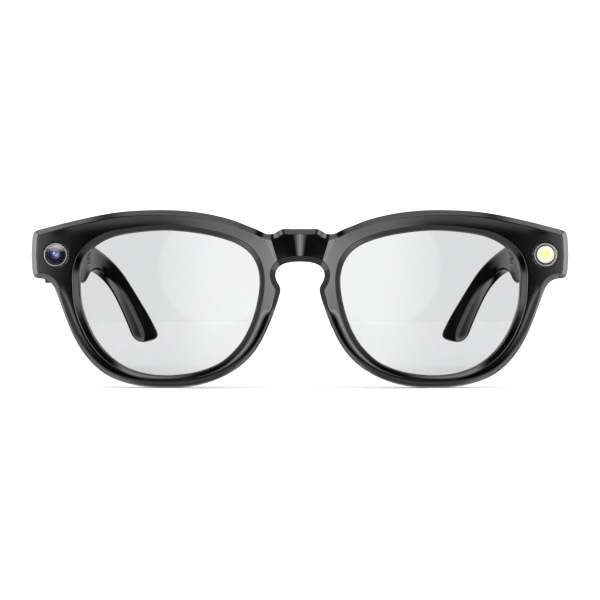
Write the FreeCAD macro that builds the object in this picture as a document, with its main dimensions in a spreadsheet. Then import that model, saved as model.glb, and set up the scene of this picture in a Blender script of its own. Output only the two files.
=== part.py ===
"""Smart glasses: full-rim front with camera and capture lamp, and two folding electronic temples.

Frame: +X to the wearer's left, +Y towards the ears, +Z up, millimetres. The origin is at the
bottom centre of the whole. "Outward" is the distance from the centre plane, and side is +1 for
the wearer's left and -1 for the wearer's right. Depths are measured from the bridge's front and
heights from the lens centreline; the sheet's middle and rim_bottom carry them to the origin.
"""
import FreeCAD, Part
import os

from FreeCAD import Rotation, Vector

LEFT, RIGHT = 1, -1
SIDES = {"left": LEFT, "right": RIGHT}
KNUCKLES = 5

# ---------------------------------------------------------------- driving dimensions

DRIVING = {
    # where the origin lies
    "middle": 74.81, "rim_bottom": 24.4,
    # front
    "half_width": 74.2, "wrap_radius": 400.0, "crown": 1.0, "rim_depth": 4.5,
    "block_inner": 62.6, "block_back": 14.0, "block_bottom": 4.9,
    "bridge_half": 8.5, "bridge_low": 10.3, "bridge_high": 18.6,
    # lenses
    "lens_setback": 1.4, "lens_thickness": 2.0, "lens_in_groove": 0.7,
    # camera and lamp
    "eye_height": 12.0, "eye_radius": 3.2, "window_radius": 2.9, "camera_out": 67.05,
    "lamp_out": 67.4, "bezel_proud": 0.12, "bezel_depth": 1.6, "window_setback": 0.15,
    "window_thickness": 0.8, "bore_end": 10.0, "optics_front": 8.3, "barrel_radius": 2.2,
    "barrel_length": 2.3, "barrel_bore": 1.3, "barrel_bore_depth": 1.4, "element_front": 8.35,
    "element_length": 1.2, "element_curve": 2.4, "cup_radius": 2.38, "cup_length": 1.7,
    "emitter_front": 8.6, "emitter_radius": 1.4, "emitter_length": 1.4,
    # ribbon cable
    "flex_half": 0.7, "flex_inset": 2.4, "flex_thickness": 0.3,
    # nose pads
    "pad_out": 9.2, "pad_depth": 5.6, "pad_height": -1.2, "pad_long": 6.5, "pad_wide": 2.0,
    "pad_deep": 4.4, "pad_lean": 18.0,
    # hinge
    "hinge_out": 66.0, "hinge_depth": 14.1, "knuckle_radius": 1.6, "knuckle_pitch": 1.6,
    "knuckle_gap": 0.05, "hinge_bottom": 7.0, "pin_radius": 0.6, "pin_clearance": 0.04,
    "notch_radius": 1.95, "notch_gap": 0.1, "pin_end": 0.05,
    "leaf_screw_inner": 64.3, "leaf_screw_outer": 67.9, "leaf_screw_back": 12.7,
    "leaf_screw_height": 7.45, "leaf_screw_length": 3.0,
    # temple
    "temple_front": 14.2, "temple_inner": 66.2, "temple_outer": 73.9, "shell_end": 84.0,
    "temple_end": 150.0, "cover_thickness": 1.0, "edge_round": 1.2, "lower_round": 3.0,
    "wire_half_height": 0.8, "wire_half_width": 0.6, "screw_sunk": 0.1,
    "plate_screw_near": 18.4, "plate_screw_far": 22.2, "plate_screw_height": 11.0,
    "plate_screw_length": 3.4, "panel_screw_depth": 80.2, "panel_screw_height": 13.6,
    "panel_screw_length": 2.0,
    # charging contacts
    "contact_near": 52.0, "contact_far": 57.0, "contact_height": 11.1, "contact_radius": 1.1,
    "contact_length": 1.2, "magnet_near": 47.6, "magnet_far": 61.4, "magnet_radius": 1.7,
    "magnet_sunk": 0.4, "magnet_length": 0.95,
    # buttons
    "button_gap": 0.12, "slot_through": 0.5,
    # small screws
    "screw_radius": 0.45, "screw_head": 0.8, "screw_head_height": 0.4,
    # how far tools reach past what they cut
    "spare": 5.0,
}

# Blocks: outward, depth and height, each from and to.
BLOCKS = {
    "eye_pocket": ((63.6, 70.6), (8.0, 12.9), (8.5, 15.5)),
    "cover_seat": ((63.2, 73.2), (12.9, 14.5), (6.0, 17.6)),
    "hinge_seat": ((63.2, 69.0), (11.3, 12.9), (6.5, 15.5)),
    "sensor_board": ((63.9, 70.2), (10.6, 11.2), (8.8, 15.2)),
    "lamp_board": ((64.3, 70.3), (10.0, 10.8), (8.9, 15.1)),
    "front_plate": ((63.3, 68.9), (11.3, 12.3), (6.6, 15.4)),
    "front_web": ((65.0, 67.0), (12.2, 13.6), (7.0, 15.0)),
    "temple_plate": ((67.2, 68.1), (15.4, 24.0), (7.0, 15.0)),
    "temple_web": ((66.2, 68.1), (14.7, 15.6), (7.0, 15.0)),
    "plate_seat": ((67.2, 68.1), (14.2, 24.0), (6.9, 15.1)),
    "main_cavity": ((67.2, 72.7), (25.4, 66.0), (6.4, 15.9)),
    "rear_cavity": ((67.2, 71.2), (65.0, 79.3), (10.4, 15.8)),
    "battery": ((67.7, 71.2), (30.5, 64.0), (6.9, 15.2)),
    "main_board": ((71.5, 72.3), (26.0, 52.0), (6.9, 15.2)),
    "link_board": ((71.5, 72.3), (26.0, 40.0), (6.9, 15.2)),
    "touch_sensor": ((72.35, 72.6), (28.0, 62.0), (8.0, 15.0)),
    "speaker": ((68.0, 70.8), (67.0, 78.6), (10.8, 15.4)),
    "grille_window": ((66.0, 67.2), (69.5, 77.5), (12.0, 14.6)),
    "speaker_grille": ((66.35, 66.85), (69.5, 77.5), (12.0, 14.6)),
    "microphone": ((68.0, 70.6), (26.2, 29.4), (6.45, 7.5)),
    "shutter_cap": ((68.9, 71.3), (34.0, 44.0), (16.2, 18.0)),
    "shutter_flange": ((68.4, 71.8), (33.5, 44.5), (16.2, 16.6)),
    "shutter_recess": ((68.2, 72.0), (33.3, 44.7), (15.8, 16.7)),
    "shutter_switch": ((69.2, 71.0), (37.5, 40.5), (15.25, 15.7)),
    "power_cap": ((70.3, 71.7), (17.5, 22.5), (4.35, 6.4)),
    "power_flange": ((69.9, 71.9), (17.1, 22.9), (6.0, 6.4)),
    "power_recess": ((69.75, 72.05), (16.95, 23.05), (5.9, 7.2)),
    "power_switch": ((70.3, 71.7), (19.0, 21.0), (6.95, 7.2)),
}
BLOCK_EDGES = ("inner", "outer", "near", "far", "low", "high")

# Half outlines of the front, outward and height, from the centre line or the side.
BROW = [(0, 19.1), (3.6, 19.05), (6.2, 18.55), (8.7, 17.7), (10.8, 18.45), (14.5, 20.1), (21.5, 22.45),
        (29, 23.9), (37, 24.45), (45.7, 24.2), (54.3, 23.15), (63.1, 21.15), (70.8, 19.25), (73.3, 18.55)]
LOWER_RIM = [(73.4, 5.75), (71.3, 5.5), (69.2, 4.75), (67.4, 2.6), (65.4, -2.6), (61.4, -11.4),
             (58.4, -15.8), (53.4, -20.2), (45.7, -23.4), (37, -24.4), (28.1, -23.5), (19.3, -20.25),
             (12.8, -14.5), (8.3, -5.95), (6.0, -0.3), (5.45, 2.5), (6.9, 6.2), (6.5, 8.3), (4.3, 9.75),
             (0, 10.3)]
SIDE_MIDDLE = (74.2, 12.2)
APERTURE = [(11.1, 3), (11.45, 7.5), (13.1, 11.5), (17.0, 14.75), (24.5, 17.3), (35.3, 18.75),
            (46.4, 18.05), (55.0, 15.6), (59.4, 11.5), (60.8, 5.5), (60.35, -1.2), (57.4, -9.3),
            (52.5, -15.75), (45.0, -20.0), (35.3, -21.15), (25, -19.1), (18.5, -14.8), (14.2, -8.5)]
FLEX_LINE = [(0, 15.2), (9, 15.2), (15, 17.6), (25, 20.6), (37, 21.6), (50, 20.9), (58, 18.9), (64.6, 15.6)]

# Temple, depth and height (side view), then depth and outward (top view).
TEMPLE_TOP = [(76, 17.6), (84, 17.4), (92, 16.8), (100, 15.75), (110, 13.4), (119, 9.2), (128, 3.2),
              (136.5, -2.4), (145, -8.2), (149.0, -10.9)]
TEMPLE_BOTTOM = [(64, 4.65), (67, 5.0), (72.5, 6.3), (79.5, 8.7), (86.5, 9.9), (93, 10.4), (100, 10.4),
                 (110, 8.2), (119, 3.3), (128, -4.6), (136.0, -13.4), (137.6, -15.1)]
TEMPLE_TIP = [(149.6, -11.8), (149.0, -12.7)]
TEMPLE_INNER = [(83, 66.2), (90, 66.1), (100, 65.6), (110, 64.1), (119, 61.5), (128, 58.6), (136.5, 55.7),
                (145, 52.7), (150, 50.9)]
TEMPLE_OUTER = [(60, 73.9), (70, 73.6), (76, 73.2), (83, 72.6), (90, 71.9), (100, 70.6), (110, 68.5),
                (119, 65.7), (128, 62.8), (136.5, 60.0), (145, 57.0), (150, 55.2)]
WIRE_SIDE = [(81, 13.3), (92, 13.5), (100, 12.9), (110, 10.7), (119, 6.2), (128, -0.8), (136.5, -8.2),
             (142, -11.2)]
WIRE_TOP = [(81, 69.4), (90, 69.0), (100, 68.1), (110, 66.3), (119, 63.6), (128, 60.7), (136.5, 57.9),
            (142, 56.0)]
COVER_OUTLINE = [(16.6, 6.0), (64.0, 6.0), (70.5, 10.5), (82.0, 11.3), (82.0, 16.2), (16.6, 16.2)]

doc = FreeCAD.newDocument("smart_glasses")
sheet = doc.addObject("Spreadsheet::Sheet", "dims")


def fill_sheet():
    """Puts every driving size into the sheet, one alias a row."""
    sizes = dict(DRIVING)
    for name, spans in BLOCKS.items():
        edges = [edge for span in spans for edge in span]
        sizes.update({f"{name}_{edge}": value for edge, value in zip(BLOCK_EDGES, edges)})
    for row, (alias, value) in enumerate(sizes.items(), start=1):
        sheet.set(f"A{row}", alias)
        sheet.set(f"B{row}", str(value))
        sheet.setAlias(f"B{row}", alias)
    doc.recompute()


def size(alias):
    return float(sheet.get(alias))


fill_sheet()
ORIGIN_SHIFT = Vector(0, -size("middle"), size("rim_bottom"))
parts = []


# ---------------------------------------------------------------- building blocks


def keep(item, node):
    """Marks an object as a finished sub-part, named after its node."""
    item.Label = node
    parts.append(item)
    return item


def place(item, outward="0", depth="0", height="0", side=LEFT, reach="0"):
    """Binds an object's position to the sheet; reach is its own extent outward, for the mirror side."""
    x = outward if side == LEFT else f"-({outward}) - ({reach})"
    item.setExpression("Placement.Base.x", x)
    item.setExpression("Placement.Base.y", f"({depth}) - dims.middle")
    item.setExpression("Placement.Base.z", f"({height}) + dims.rim_bottom")
    return item


def block(name, side, sizes=None):
    """A box from the sheet's six edges of that name."""
    sizes = sizes or name
    inner, outer, near, far, low, high = (f"dims.{sizes}_{edge}" for edge in BLOCK_EDGES)
    item = doc.addObject("Part::Box", name)
    item.setExpression("Length", f"{outer} - {inner}")
    item.setExpression("Width", f"{far} - {near}")
    item.setExpression("Height", f"{high} - {low}")
    return place(item, inner, near, low, side, f"{outer} - {inner}")


def rod(name, side, axis, outward, depth, height, radius, length):
    """A cylinder that starts at a point and runs along +Y, +Z or outward."""
    item = doc.addObject("Part::Cylinder", name)
    item.setExpression("Radius", radius)
    item.setExpression("Height", length)
    turns = {"Z": Rotation(), "Y": Rotation(Vector(1, 0, 0), -90),
             "X": Rotation(Vector(0, 1, 0), 90 * side)}
    item.Placement = FreeCAD.Placement(Vector(), turns[axis])
    return place(item, outward, depth, height, side)


def cut(name, base, *tools):
    if len(tools) > 1:
        tools = [fuse(f"{name}_tools", *tools)]
    item = doc.addObject("Part::Cut", name)
    item.Base, item.Tool = base, tools[0]
    return item


def fuse(name, *items):
    item = doc.addObject("Part::MultiFuse", name)
    item.Shapes = list(items)
    return item


def common(name, *items):
    item = doc.addObject("Part::MultiCommon", name)
    item.Shapes = list(items)
    return item


def group(name, *items):
    """Separate solids that share one node."""
    item = doc.addObject("Part::Compound", name)
    item.Links = list(items)
    return item


def spline(points, to_vector, closed=False):
    curve = Part.BSplineCurve()
    curve.interpolate([to_vector(*point) for point in points], PeriodicFlag=closed)
    return curve


def padded_outline(name, plane, curves, length, both_ways=False, backwards=False):
    """A body with one sketch on an origin plane, padded by the length given."""
    body = doc.addObject("PartDesign::Body", name)
    sketch = body.newObject("Sketcher::SketchObject", f"{name}_sketch")
    origin_plane = [item for item in body.Origin.OriginFeatures if item.Role == plane][0]
    sketch.AttachmentSupport = [(origin_plane, "")]
    sketch.MapMode = "FlatFace"
    for curve in curves:
        sketch.addGeometry(curve, False)
    pad = body.newObject("PartDesign::Pad", f"{name}_pad")
    pad.Profile = sketch
    pad.setExpression("Length", length)
    pad.Midplane = both_ways
    pad.Reversed = backwards
    return place(body)


def polyline(points):
    """Straight edges through the points, closed."""
    ends = points[1:] + points[:1]
    return [Part.LineSegment(start, end) for start, end in zip(points, ends)]


def wrap(name, inset):
    """The upright cylinder that the front follows, inset behind its front face."""
    item = doc.addObject("Part::Cylinder", name)
    item.setExpression("Radius", f"dims.wrap_radius - ({inset})")
    item.Height = 4 * size("rim_bottom")
    place(item, "0", "dims.crown + dims.wrap_radius", "-2 * dims.rim_bottom")
    return item


def wrap_layer(name, front_inset, back_inset):
    """The layer between two insets behind the front's face."""
    return cut(name, wrap(f"{name}_front", front_inset), wrap(f"{name}_back", back_inset))


# ---------------------------------------------------------------- front


def sketch_point(across, up):
    return Vector(across, up, 0)


def front_outline():
    """Outer outline of the front: brow, two convex sides and the lower rims with the keyhole bridge."""
    brow = [(-x, z) for x, z in reversed(BROW[1:])] + BROW
    lower = LOWER_RIM + [(-x, z) for x, z in reversed(LOWER_RIM[:-1])]
    curves = [spline(brow, sketch_point), spline(lower, sketch_point)]
    for side in SIDES.values():
        ends = [sketch_point(side * x, z) for x, z in (BROW[-1], SIDE_MIDDLE, LOWER_RIM[0])]
        curves.append(Part.Arc(*ends))
    return curves


def aperture(side, margin=0.0):
    """Closed outline of a lens opening, moved outward by a margin."""
    curve = spline([(side * x, z) for x, z in APERTURE], sketch_point, closed=True)
    if not margin:
        return curve
    centre = Vector(side * 36, 0, 0)
    moved = []
    for x, z in APERTURE:
        point = Vector(side * x, z, 0)
        along = curve.tangent(curve.parameter(point))[0]
        normal = Vector(along.y, -along.x, 0).normalize()
        if normal.dot(point - centre) < 0:
            normal = -normal
        moved.append((side * x + margin * normal.x, z + margin * normal.y))
    return spline(moved, sketch_point, closed=True)


def make_lens(label, side, margin, setback, thickness):
    """A lens, or the groove for it: an outline grown by the margin, bent to the wrap."""
    plate = padded_outline(f"{label}_plate", "XZ_Plane", [aperture(side, margin)],
                           "dims.block_back", backwards=True)
    return common(label, plate, wrap_layer(f"{label}_layer", setback, f"{setback} + {thickness}"))


def make_flex():
    """Ribbon cable along the brow, from one end piece to the other."""
    half = size("flex_half")
    line = [(-x, z) for x, z in reversed(FLEX_LINE[1:])] + FLEX_LINE
    upper = [(x, z + half) for x, z in line]
    lower = [(x, z - half) for x, z in line]
    ends = [Part.LineSegment(sketch_point(*upper[i]), sketch_point(*lower[i])) for i in (0, -1)]
    curves = [spline(upper, sketch_point), spline(lower, sketch_point)] + ends
    band = padded_outline("flex_band", "XZ_Plane", curves, "dims.block_back", backwards=True)
    return common("front_flex_ribbon", band, wrap_layer("flex_layer", "dims.flex_inset",
                                                          "dims.flex_inset + dims.flex_thickness"))


def eye_rod(name, side, outward, depth, radius, length):
    """A round piece of the camera or lamp, along the view."""
    return rod(name, side, "Y", outward, depth, "dims.eye_height", radius, length)


def hinge_rod(name, side, bottom, radius, length):
    return rod(name, side, "Z", "dims.hinge_out", "dims.hinge_depth", bottom, radius, length)


def hinge_notch(name, side):
    """Round clearance around the knuckles."""
    return hinge_rod(name, side, "dims.hinge_bottom - dims.notch_gap", "dims.notch_radius",
                     f"{KNUCKLES} * dims.knuckle_pitch + 2 * dims.notch_gap")


def make_front(lens_grooves, flex):
    """The moulded rim: outline bent to the wrap, deep end blocks, openings, pockets and notches."""
    blank = padded_outline("front_blank", "XZ_Plane", front_outline(), "dims.block_back", backwards=True)
    face = wrap("front_face", "0")
    crown = doc.addObject("Part::Cylinder", "bridge_crown")
    # The bridge's forward crown: a round bar whose front touches the foremost plane.
    rise, half = "dims.crown", "dims.bridge_half"
    radius = f"({half} * {half} + {rise} * {rise}) / (2 * {rise})"
    crown.setExpression("Radius", radius)
    crown.setExpression("Height", "dims.bridge_high - dims.bridge_low")
    place(crown, "0", radius, "dims.bridge_low")
    slab = common("front_slab", blank, fuse("front_faces", face, crown))

    behind = wrap("behind_rims", "dims.rim_depth")
    between = doc.addObject("Part::Box", "between_blocks")
    below = doc.addObject("Part::Box", "below_blocks")
    for item, half_width, top in ((between, "dims.block_inner", "dims.rim_bottom + dims.spare"),
                                  (below, "dims.half_width + dims.spare", "dims.block_bottom")):
        item.setExpression("Length", f"2 * ({half_width})")
        item.setExpression("Width", "2 * dims.block_back")
        item.setExpression("Height", f"({top}) + dims.rim_bottom + dims.spare")
        place(item, f"-({half_width})", "0", "-dims.rim_bottom - dims.spare")
    relief = common("rim_relief", behind, fuse("relief_zone", between, below))

    tools = [relief, flex] + lens_grooves
    for label, side in SIDES.items():
        eye_out = "dims.lamp_out" if side == LEFT else "dims.camera_out"
        tools.append(padded_outline(f"aperture_{label}", "XZ_Plane", [aperture(side)],
                                    "dims.block_back", backwards=True))
        tools.append(eye_rod(f"eye_bore_{label}", side, eye_out, "0", "dims.eye_radius",
                             "dims.bore_end"))
        tools += [block(f"{name}_{label}", side, name)
                  for name in ("eye_pocket", "cover_seat", "hinge_seat")]
        tools.append(hinge_notch(f"front_notch_{label}", side))
    return cut("front_moulding", slab, *tools)


def make_eye(kind, side, outward):
    """Bezel ring and window of the camera or the lamp, flush with the wrapped face."""
    outer = eye_rod(f"{kind}_bezel_outer", side, outward, "0", "dims.eye_radius", "dims.bore_end")
    inner = eye_rod(f"{kind}_bezel_inner", side, outward, "0", "dims.window_radius", "dims.bore_end")
    ring = cut(f"{kind}_ring", outer, inner)
    layer = wrap_layer(f"{kind}_bezel_layer", "-dims.bezel_proud", "dims.bezel_depth")
    keep(common(f"{kind}_bezel_solid", ring, layer), f"{kind}_bezel")
    disc = eye_rod(f"{kind}_window_disc", side, outward, "0", "dims.window_radius", "dims.bore_end")
    layer = wrap_layer(f"{kind}_window_layer", "dims.window_setback",
                       "dims.window_setback + dims.window_thickness")
    keep(common(f"{kind}_window_solid", disc, layer), f"{kind}_window")


def make_camera():
    side, out = RIGHT, "dims.camera_out"
    make_eye("camera", side, out)
    body = eye_rod("barrel_body", side, out, "dims.optics_front", "dims.barrel_radius",
                   "dims.barrel_length")
    bore = eye_rod("barrel_bore", side, out, "dims.optics_front", "dims.barrel_bore",
                   "dims.barrel_bore_depth")
    keep(cut("barrel", body, bore), "camera_barrel")
    glass = eye_rod("element_disc", side, out, "dims.element_front", "dims.barrel_bore",
                    "dims.element_length")
    dome = doc.addObject("Part::Sphere", "element_dome")
    dome.setExpression("Radius", "dims.element_curve")
    place(dome, out, "dims.element_front + dims.element_curve", "dims.eye_height", side)
    keep(common("element", glass, dome), "camera_element")
    keep(block("sensor", side, "sensor_board"), "camera_sensor_board")


def make_lamp():
    side, out = LEFT, "dims.lamp_out"
    make_eye("lamp", side, out)
    cup = eye_rod("cup_body", side, out, "dims.optics_front", "dims.cup_radius", "dims.cup_length")
    mouth = eye_rod("cup_mouth", side, out, "dims.optics_front", "dims.emitter_radius", "dims.cup_length")
    keep(cut("cup", cup, mouth), "lamp_reflector")
    keep(eye_rod("emitter", side, out, "dims.emitter_front", "dims.emitter_radius", "dims.emitter_length"),
         "lamp_emitter")
    keep(block("lamp_circuit", side, "lamp_board"), "lamp_board")


def make_nose_pads():
    """Soft pads moulded against the back of the rims, leaning with the nose."""
    for label, side in SIDES.items():
        pad = doc.addObject("Part::Ellipsoid", f"pad_body_{label}")
        pad.setExpression("Radius1", "dims.pad_long")
        pad.setExpression("Radius2", "dims.pad_wide")
        pad.setExpression("Radius3", "dims.pad_deep")
        pad.Placement = FreeCAD.Placement(Vector(), Rotation(Vector(0, 1, 0), -size("pad_lean") * side))
        place(pad, "dims.pad_out", "dims.pad_depth", "dims.pad_height", side)
        keep(common(f"pad_{label}", pad, wrap(f"pad_wrap_{label}", "dims.rim_depth")), f"nose_pad_{label}")


# ---------------------------------------------------------------- hinges


def knuckles(name, side, numbers):
    """Knuckles of one leaf, counted from the bottom."""
    items = []
    for number in numbers:
        bottom = f"dims.hinge_bottom + {number} * dims.knuckle_pitch + dims.knuckle_gap / 2"
        items.append(hinge_rod(f"{name}_{number}", side, bottom, "dims.knuckle_radius",
                               "dims.knuckle_pitch - dims.knuckle_gap"))
    return items


def webs(name, side, numbers, sizes):
    """The plate's arms that reach the knuckles, each as tall as its knuckle."""
    items = []
    for number in numbers:
        item = block(f"{name}_{number}", side, sizes)
        item.setExpression("Height", "dims.knuckle_pitch - dims.knuckle_gap")
        item.setExpression("Placement.Base.z", f"dims.hinge_bottom + {number} * dims.knuckle_pitch"
                           " + dims.knuckle_gap / 2 + dims.rim_bottom")
        items.append(item)
    return items


def make_leaf(node, side, plate, web, numbers):
    solid = fuse(f"{node}_body", block(f"{node}_plate", side, plate),
                 *knuckles(f"{node}_knuckle", side, numbers), *webs(f"{node}_web", side, numbers, web))
    bore = hinge_rod(f"{node}_bore", side, "dims.hinge_bottom - dims.spare",
                     "dims.pin_radius + dims.pin_clearance",
                     f"{KNUCKLES} * dims.knuckle_pitch + 2 * dims.spare")
    return cut(f"{node}_solid", solid, bore)


def screw(name, side, axis, outward, depth, height, length):
    """A small flat-head screw; its head comes first, then its shank along the axis."""
    head = rod(f"{name}_head", side, axis, outward, depth, height, "dims.screw_head",
               "dims.screw_head_height")
    shank = rod(f"{name}_shank", side, axis, outward, depth, height, "dims.screw_radius", length)
    return fuse(name, head, shank)


def screw_from_back(name, side, outward, back, height, length):
    """A screw put in from behind: its head's back is at the depth given."""
    head = rod(f"{name}_head", side, "Y", outward, f"{back} - dims.screw_head_height", height,
               "dims.screw_head", "dims.screw_head_height")
    shank = rod(f"{name}_shank", side, "Y", outward, f"{back} - {length}", height, "dims.screw_radius",
                length)
    return fuse(name, head, shank)


def make_hinges():
    front_screws = []
    for label, side in SIDES.items():
        leaf = make_leaf(f"front_leaf_{label}", side, "front_plate", "front_web", (0, 2, 4))
        screws = []
        for end in ("inner", "outer"):
            screws.append(screw_from_back(f"leaf_screw_{label}_{end}", side, f"dims.leaf_screw_{end}",
                                          "dims.leaf_screw_back", "dims.leaf_screw_height",
                                          "dims.leaf_screw_length"))
        keep(cut(f"front_leaf_drilled_{label}", leaf, *screws), f"hinge_front_leaf_{label}")
        front_screws += screws
        keep(hinge_rod(f"pin_{label}", side, "dims.hinge_bottom - dims.pin_end", "dims.pin_radius",
                       f"{KNUCKLES} * dims.knuckle_pitch + 2 * dims.pin_end"), f"hinge_pin_{label}")
    return front_screws


def make_end_covers():
    """Covers behind the end pieces, cut round around the hinge."""
    for label, side in SIDES.items():
        plate = block(f"end_plate_{label}", side, "cover_seat")
        plate.setExpression("Width", "dims.block_back - dims.cover_seat_near")
        keep(cut(f"end_cover_body_{label}", plate, hinge_notch(f"end_notch_{label}", side)),
             f"end_cover_{label}")


# ---------------------------------------------------------------- temples


def make_bar(name, side, side_curves, top_curves):
    """A bar that has one outline from the side and another from above."""
    side_view = padded_outline(f"{name}_side", "YZ_Plane", side_curves, "4 * dims.half_width",
                               both_ways=True)
    top_view = padded_outline(f"{name}_top", "XY_Plane", top_curves, "8 * dims.rim_bottom",
                              both_ways=True)
    return common(name, side_view, top_view)


def temple_side_curves():
    """Level housing, the step up to the neck, the drop behind the ear and the oblique tip."""
    front = size("temple_front")
    top, bottom = (spline(points, sketch_point) for points in (TEMPLE_TOP, TEMPLE_BOTTOM))
    top_front = Vector(front, TEMPLE_TOP[0][1], 0)
    bottom_front = Vector(front, TEMPLE_BOTTOM[0][1], 0)
    tip = [Vector(*TEMPLE_TOP[-1], 0), Vector(*TEMPLE_TIP[0], 0), Vector(*TEMPLE_TIP[1], 0)]
    return [Part.LineSegment(top_front, Vector(*TEMPLE_TOP[0], 0)), top, Part.Arc(*tip),
            Part.LineSegment(tip[-1], Vector(*TEMPLE_BOTTOM[-1], 0)), bottom,
            Part.LineSegment(Vector(*TEMPLE_BOTTOM[0], 0), bottom_front),
            Part.LineSegment(bottom_front, top_front)]


def temple_top_curves(side):
    """Straight beside the head, then bending in behind the ear."""
    def point(depth, outward):
        return Vector(side * outward, depth, 0)

    front = size("temple_front")
    corners = [point(front, TEMPLE_INNER[0][1]), point(front, TEMPLE_OUTER[0][1])]
    return [Part.LineSegment(corners[0], point(*TEMPLE_INNER[0])), spline(TEMPLE_INNER, point),
            Part.LineSegment(point(*TEMPLE_INNER[-1]), point(*TEMPLE_OUTER[-1])),
            spline(TEMPLE_OUTER, point), Part.LineSegment(point(*TEMPLE_OUTER[0]), corners[1]),
            Part.LineSegment(corners[1], corners[0])]


def band(points, half, to_vector):
    """Closed outline of a strip that follows the points."""
    upper = [(along, across + half) for along, across in points]
    lower = [(along, across - half) for along, across in points]
    ends = [Part.LineSegment(to_vector(*upper[i]), to_vector(*lower[i])) for i in (0, -1)]
    return [spline(upper, to_vector), spline(lower, to_vector)] + ends


def rounded_bar(name, bar):
    """Rounds the housing's long edges: wide at the lower outer edge, fine elsewhere."""
    doc.recompute()
    item = doc.addObject("Part::Fillet", name)
    item.Base = bar
    widest = size("temple_outer") - size("edge_round")
    chosen = []
    for number, edge in enumerate(bar.Shape.Edges, start=1):
        box = edge.BoundBox
        if box.YLength < 3:
            continue
        outer = max(abs(box.XMin), abs(box.XMax)) > widest
        lower = box.ZMin - size("rim_bottom") < size("eye_height") and box.YMax < 0
        radius = size("lower_round") if outer and lower else size("edge_round")
        chosen.append((number, radius, radius))
    item.Edges = chosen
    return item


def temple_slice(name, near, far):
    """A slab that takes one stretch of the temple's length."""
    item = doc.addObject("Part::Box", name)
    item.setExpression("Length", "4 * dims.half_width")
    item.setExpression("Width", f"({far}) - ({near})")
    item.setExpression("Height", "8 * dims.rim_bottom")
    return place(item, "-2 * dims.half_width", near, "-4 * dims.rim_bottom")


def make_temple(label, side):
    bar = make_bar(f"temple_bar_{label}", side, temple_side_curves(), temple_top_curves(side))
    housing = common(f"housing_stretch_{label}", bar,
                     temple_slice(f"shell_slice_{label}", "dims.temple_front", "dims.shell_end"))
    rounded = common(f"housing_{label}", rounded_bar(f"housing_rounded_{label}", housing),
                     temple_slice(f"housing_trim_{label}", "dims.temple_front", "dims.shell_end"))

    wire_curves = band(WIRE_SIDE, size("wire_half_height"), sketch_point)
    wire_top = band(WIRE_TOP, size("wire_half_width"),
                    lambda depth, outward: Vector(side * outward, depth, 0))
    wire = make_bar(f"wire_{label}", side, wire_curves, wire_top)

    cover_points = [Vector(depth, up, 0) for depth, up in COVER_OUTLINE]
    cover_seat = padded_outline(f"cover_panel_{label}", "YZ_Plane", polyline(cover_points),
                                "dims.temple_inner + dims.cover_thickness", backwards=side < 0)

    contents = make_contents(label, side)
    shell_tools = [cover_seat, wire] + contents["shell"] + [hinge_notch(f"shell_notch_{label}", side)]
    shell_tools += [block(f"{name}_{label}", side, name) for name in
                    ("main_cavity", "rear_cavity", "plate_seat")]
    keep(cut(f"shell_{label}", rounded, *shell_tools), f"temple_shell_{label}")

    panel = common(f"cover_stretch_{label}", rounded, cover_seat)
    keep(cut(f"cover_{label}", panel, *contents["cover"],
             block(f"grille_hole_{label}", side, "grille_window")), f"temple_cover_{label}")

    ear = common(f"ear_stretch_{label}", bar,
                 temple_slice(f"ear_slice_{label}", "dims.shell_end", "dims.temple_end"))
    keep(cut(f"ear_{label}", ear, wire), f"ear_tip_{label}")
    keep(wire, f"core_wire_{label}")


def slot(name, side, sizes):
    """A button's block with a gap all round, lengthened up and down to go through the wall."""
    item = block(name, side, sizes)
    inner, outer, near, far, low, high = (f"dims.{sizes}_{edge}" for edge in BLOCK_EDGES)
    gap, through = "dims.button_gap", "dims.slot_through"
    item.setExpression("Length", f"{outer} - {inner} + 2 * {gap}")
    item.setExpression("Width", f"{far} - {near} + 2 * {gap}")
    item.setExpression("Height", f"{high} - {low} + 2 * {through}")
    return place(item, f"{inner} - {gap}", f"{near} - {gap}", f"{low} - {through}", side,
                 f"{outer} - {inner} + 2 * {gap}")


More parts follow.
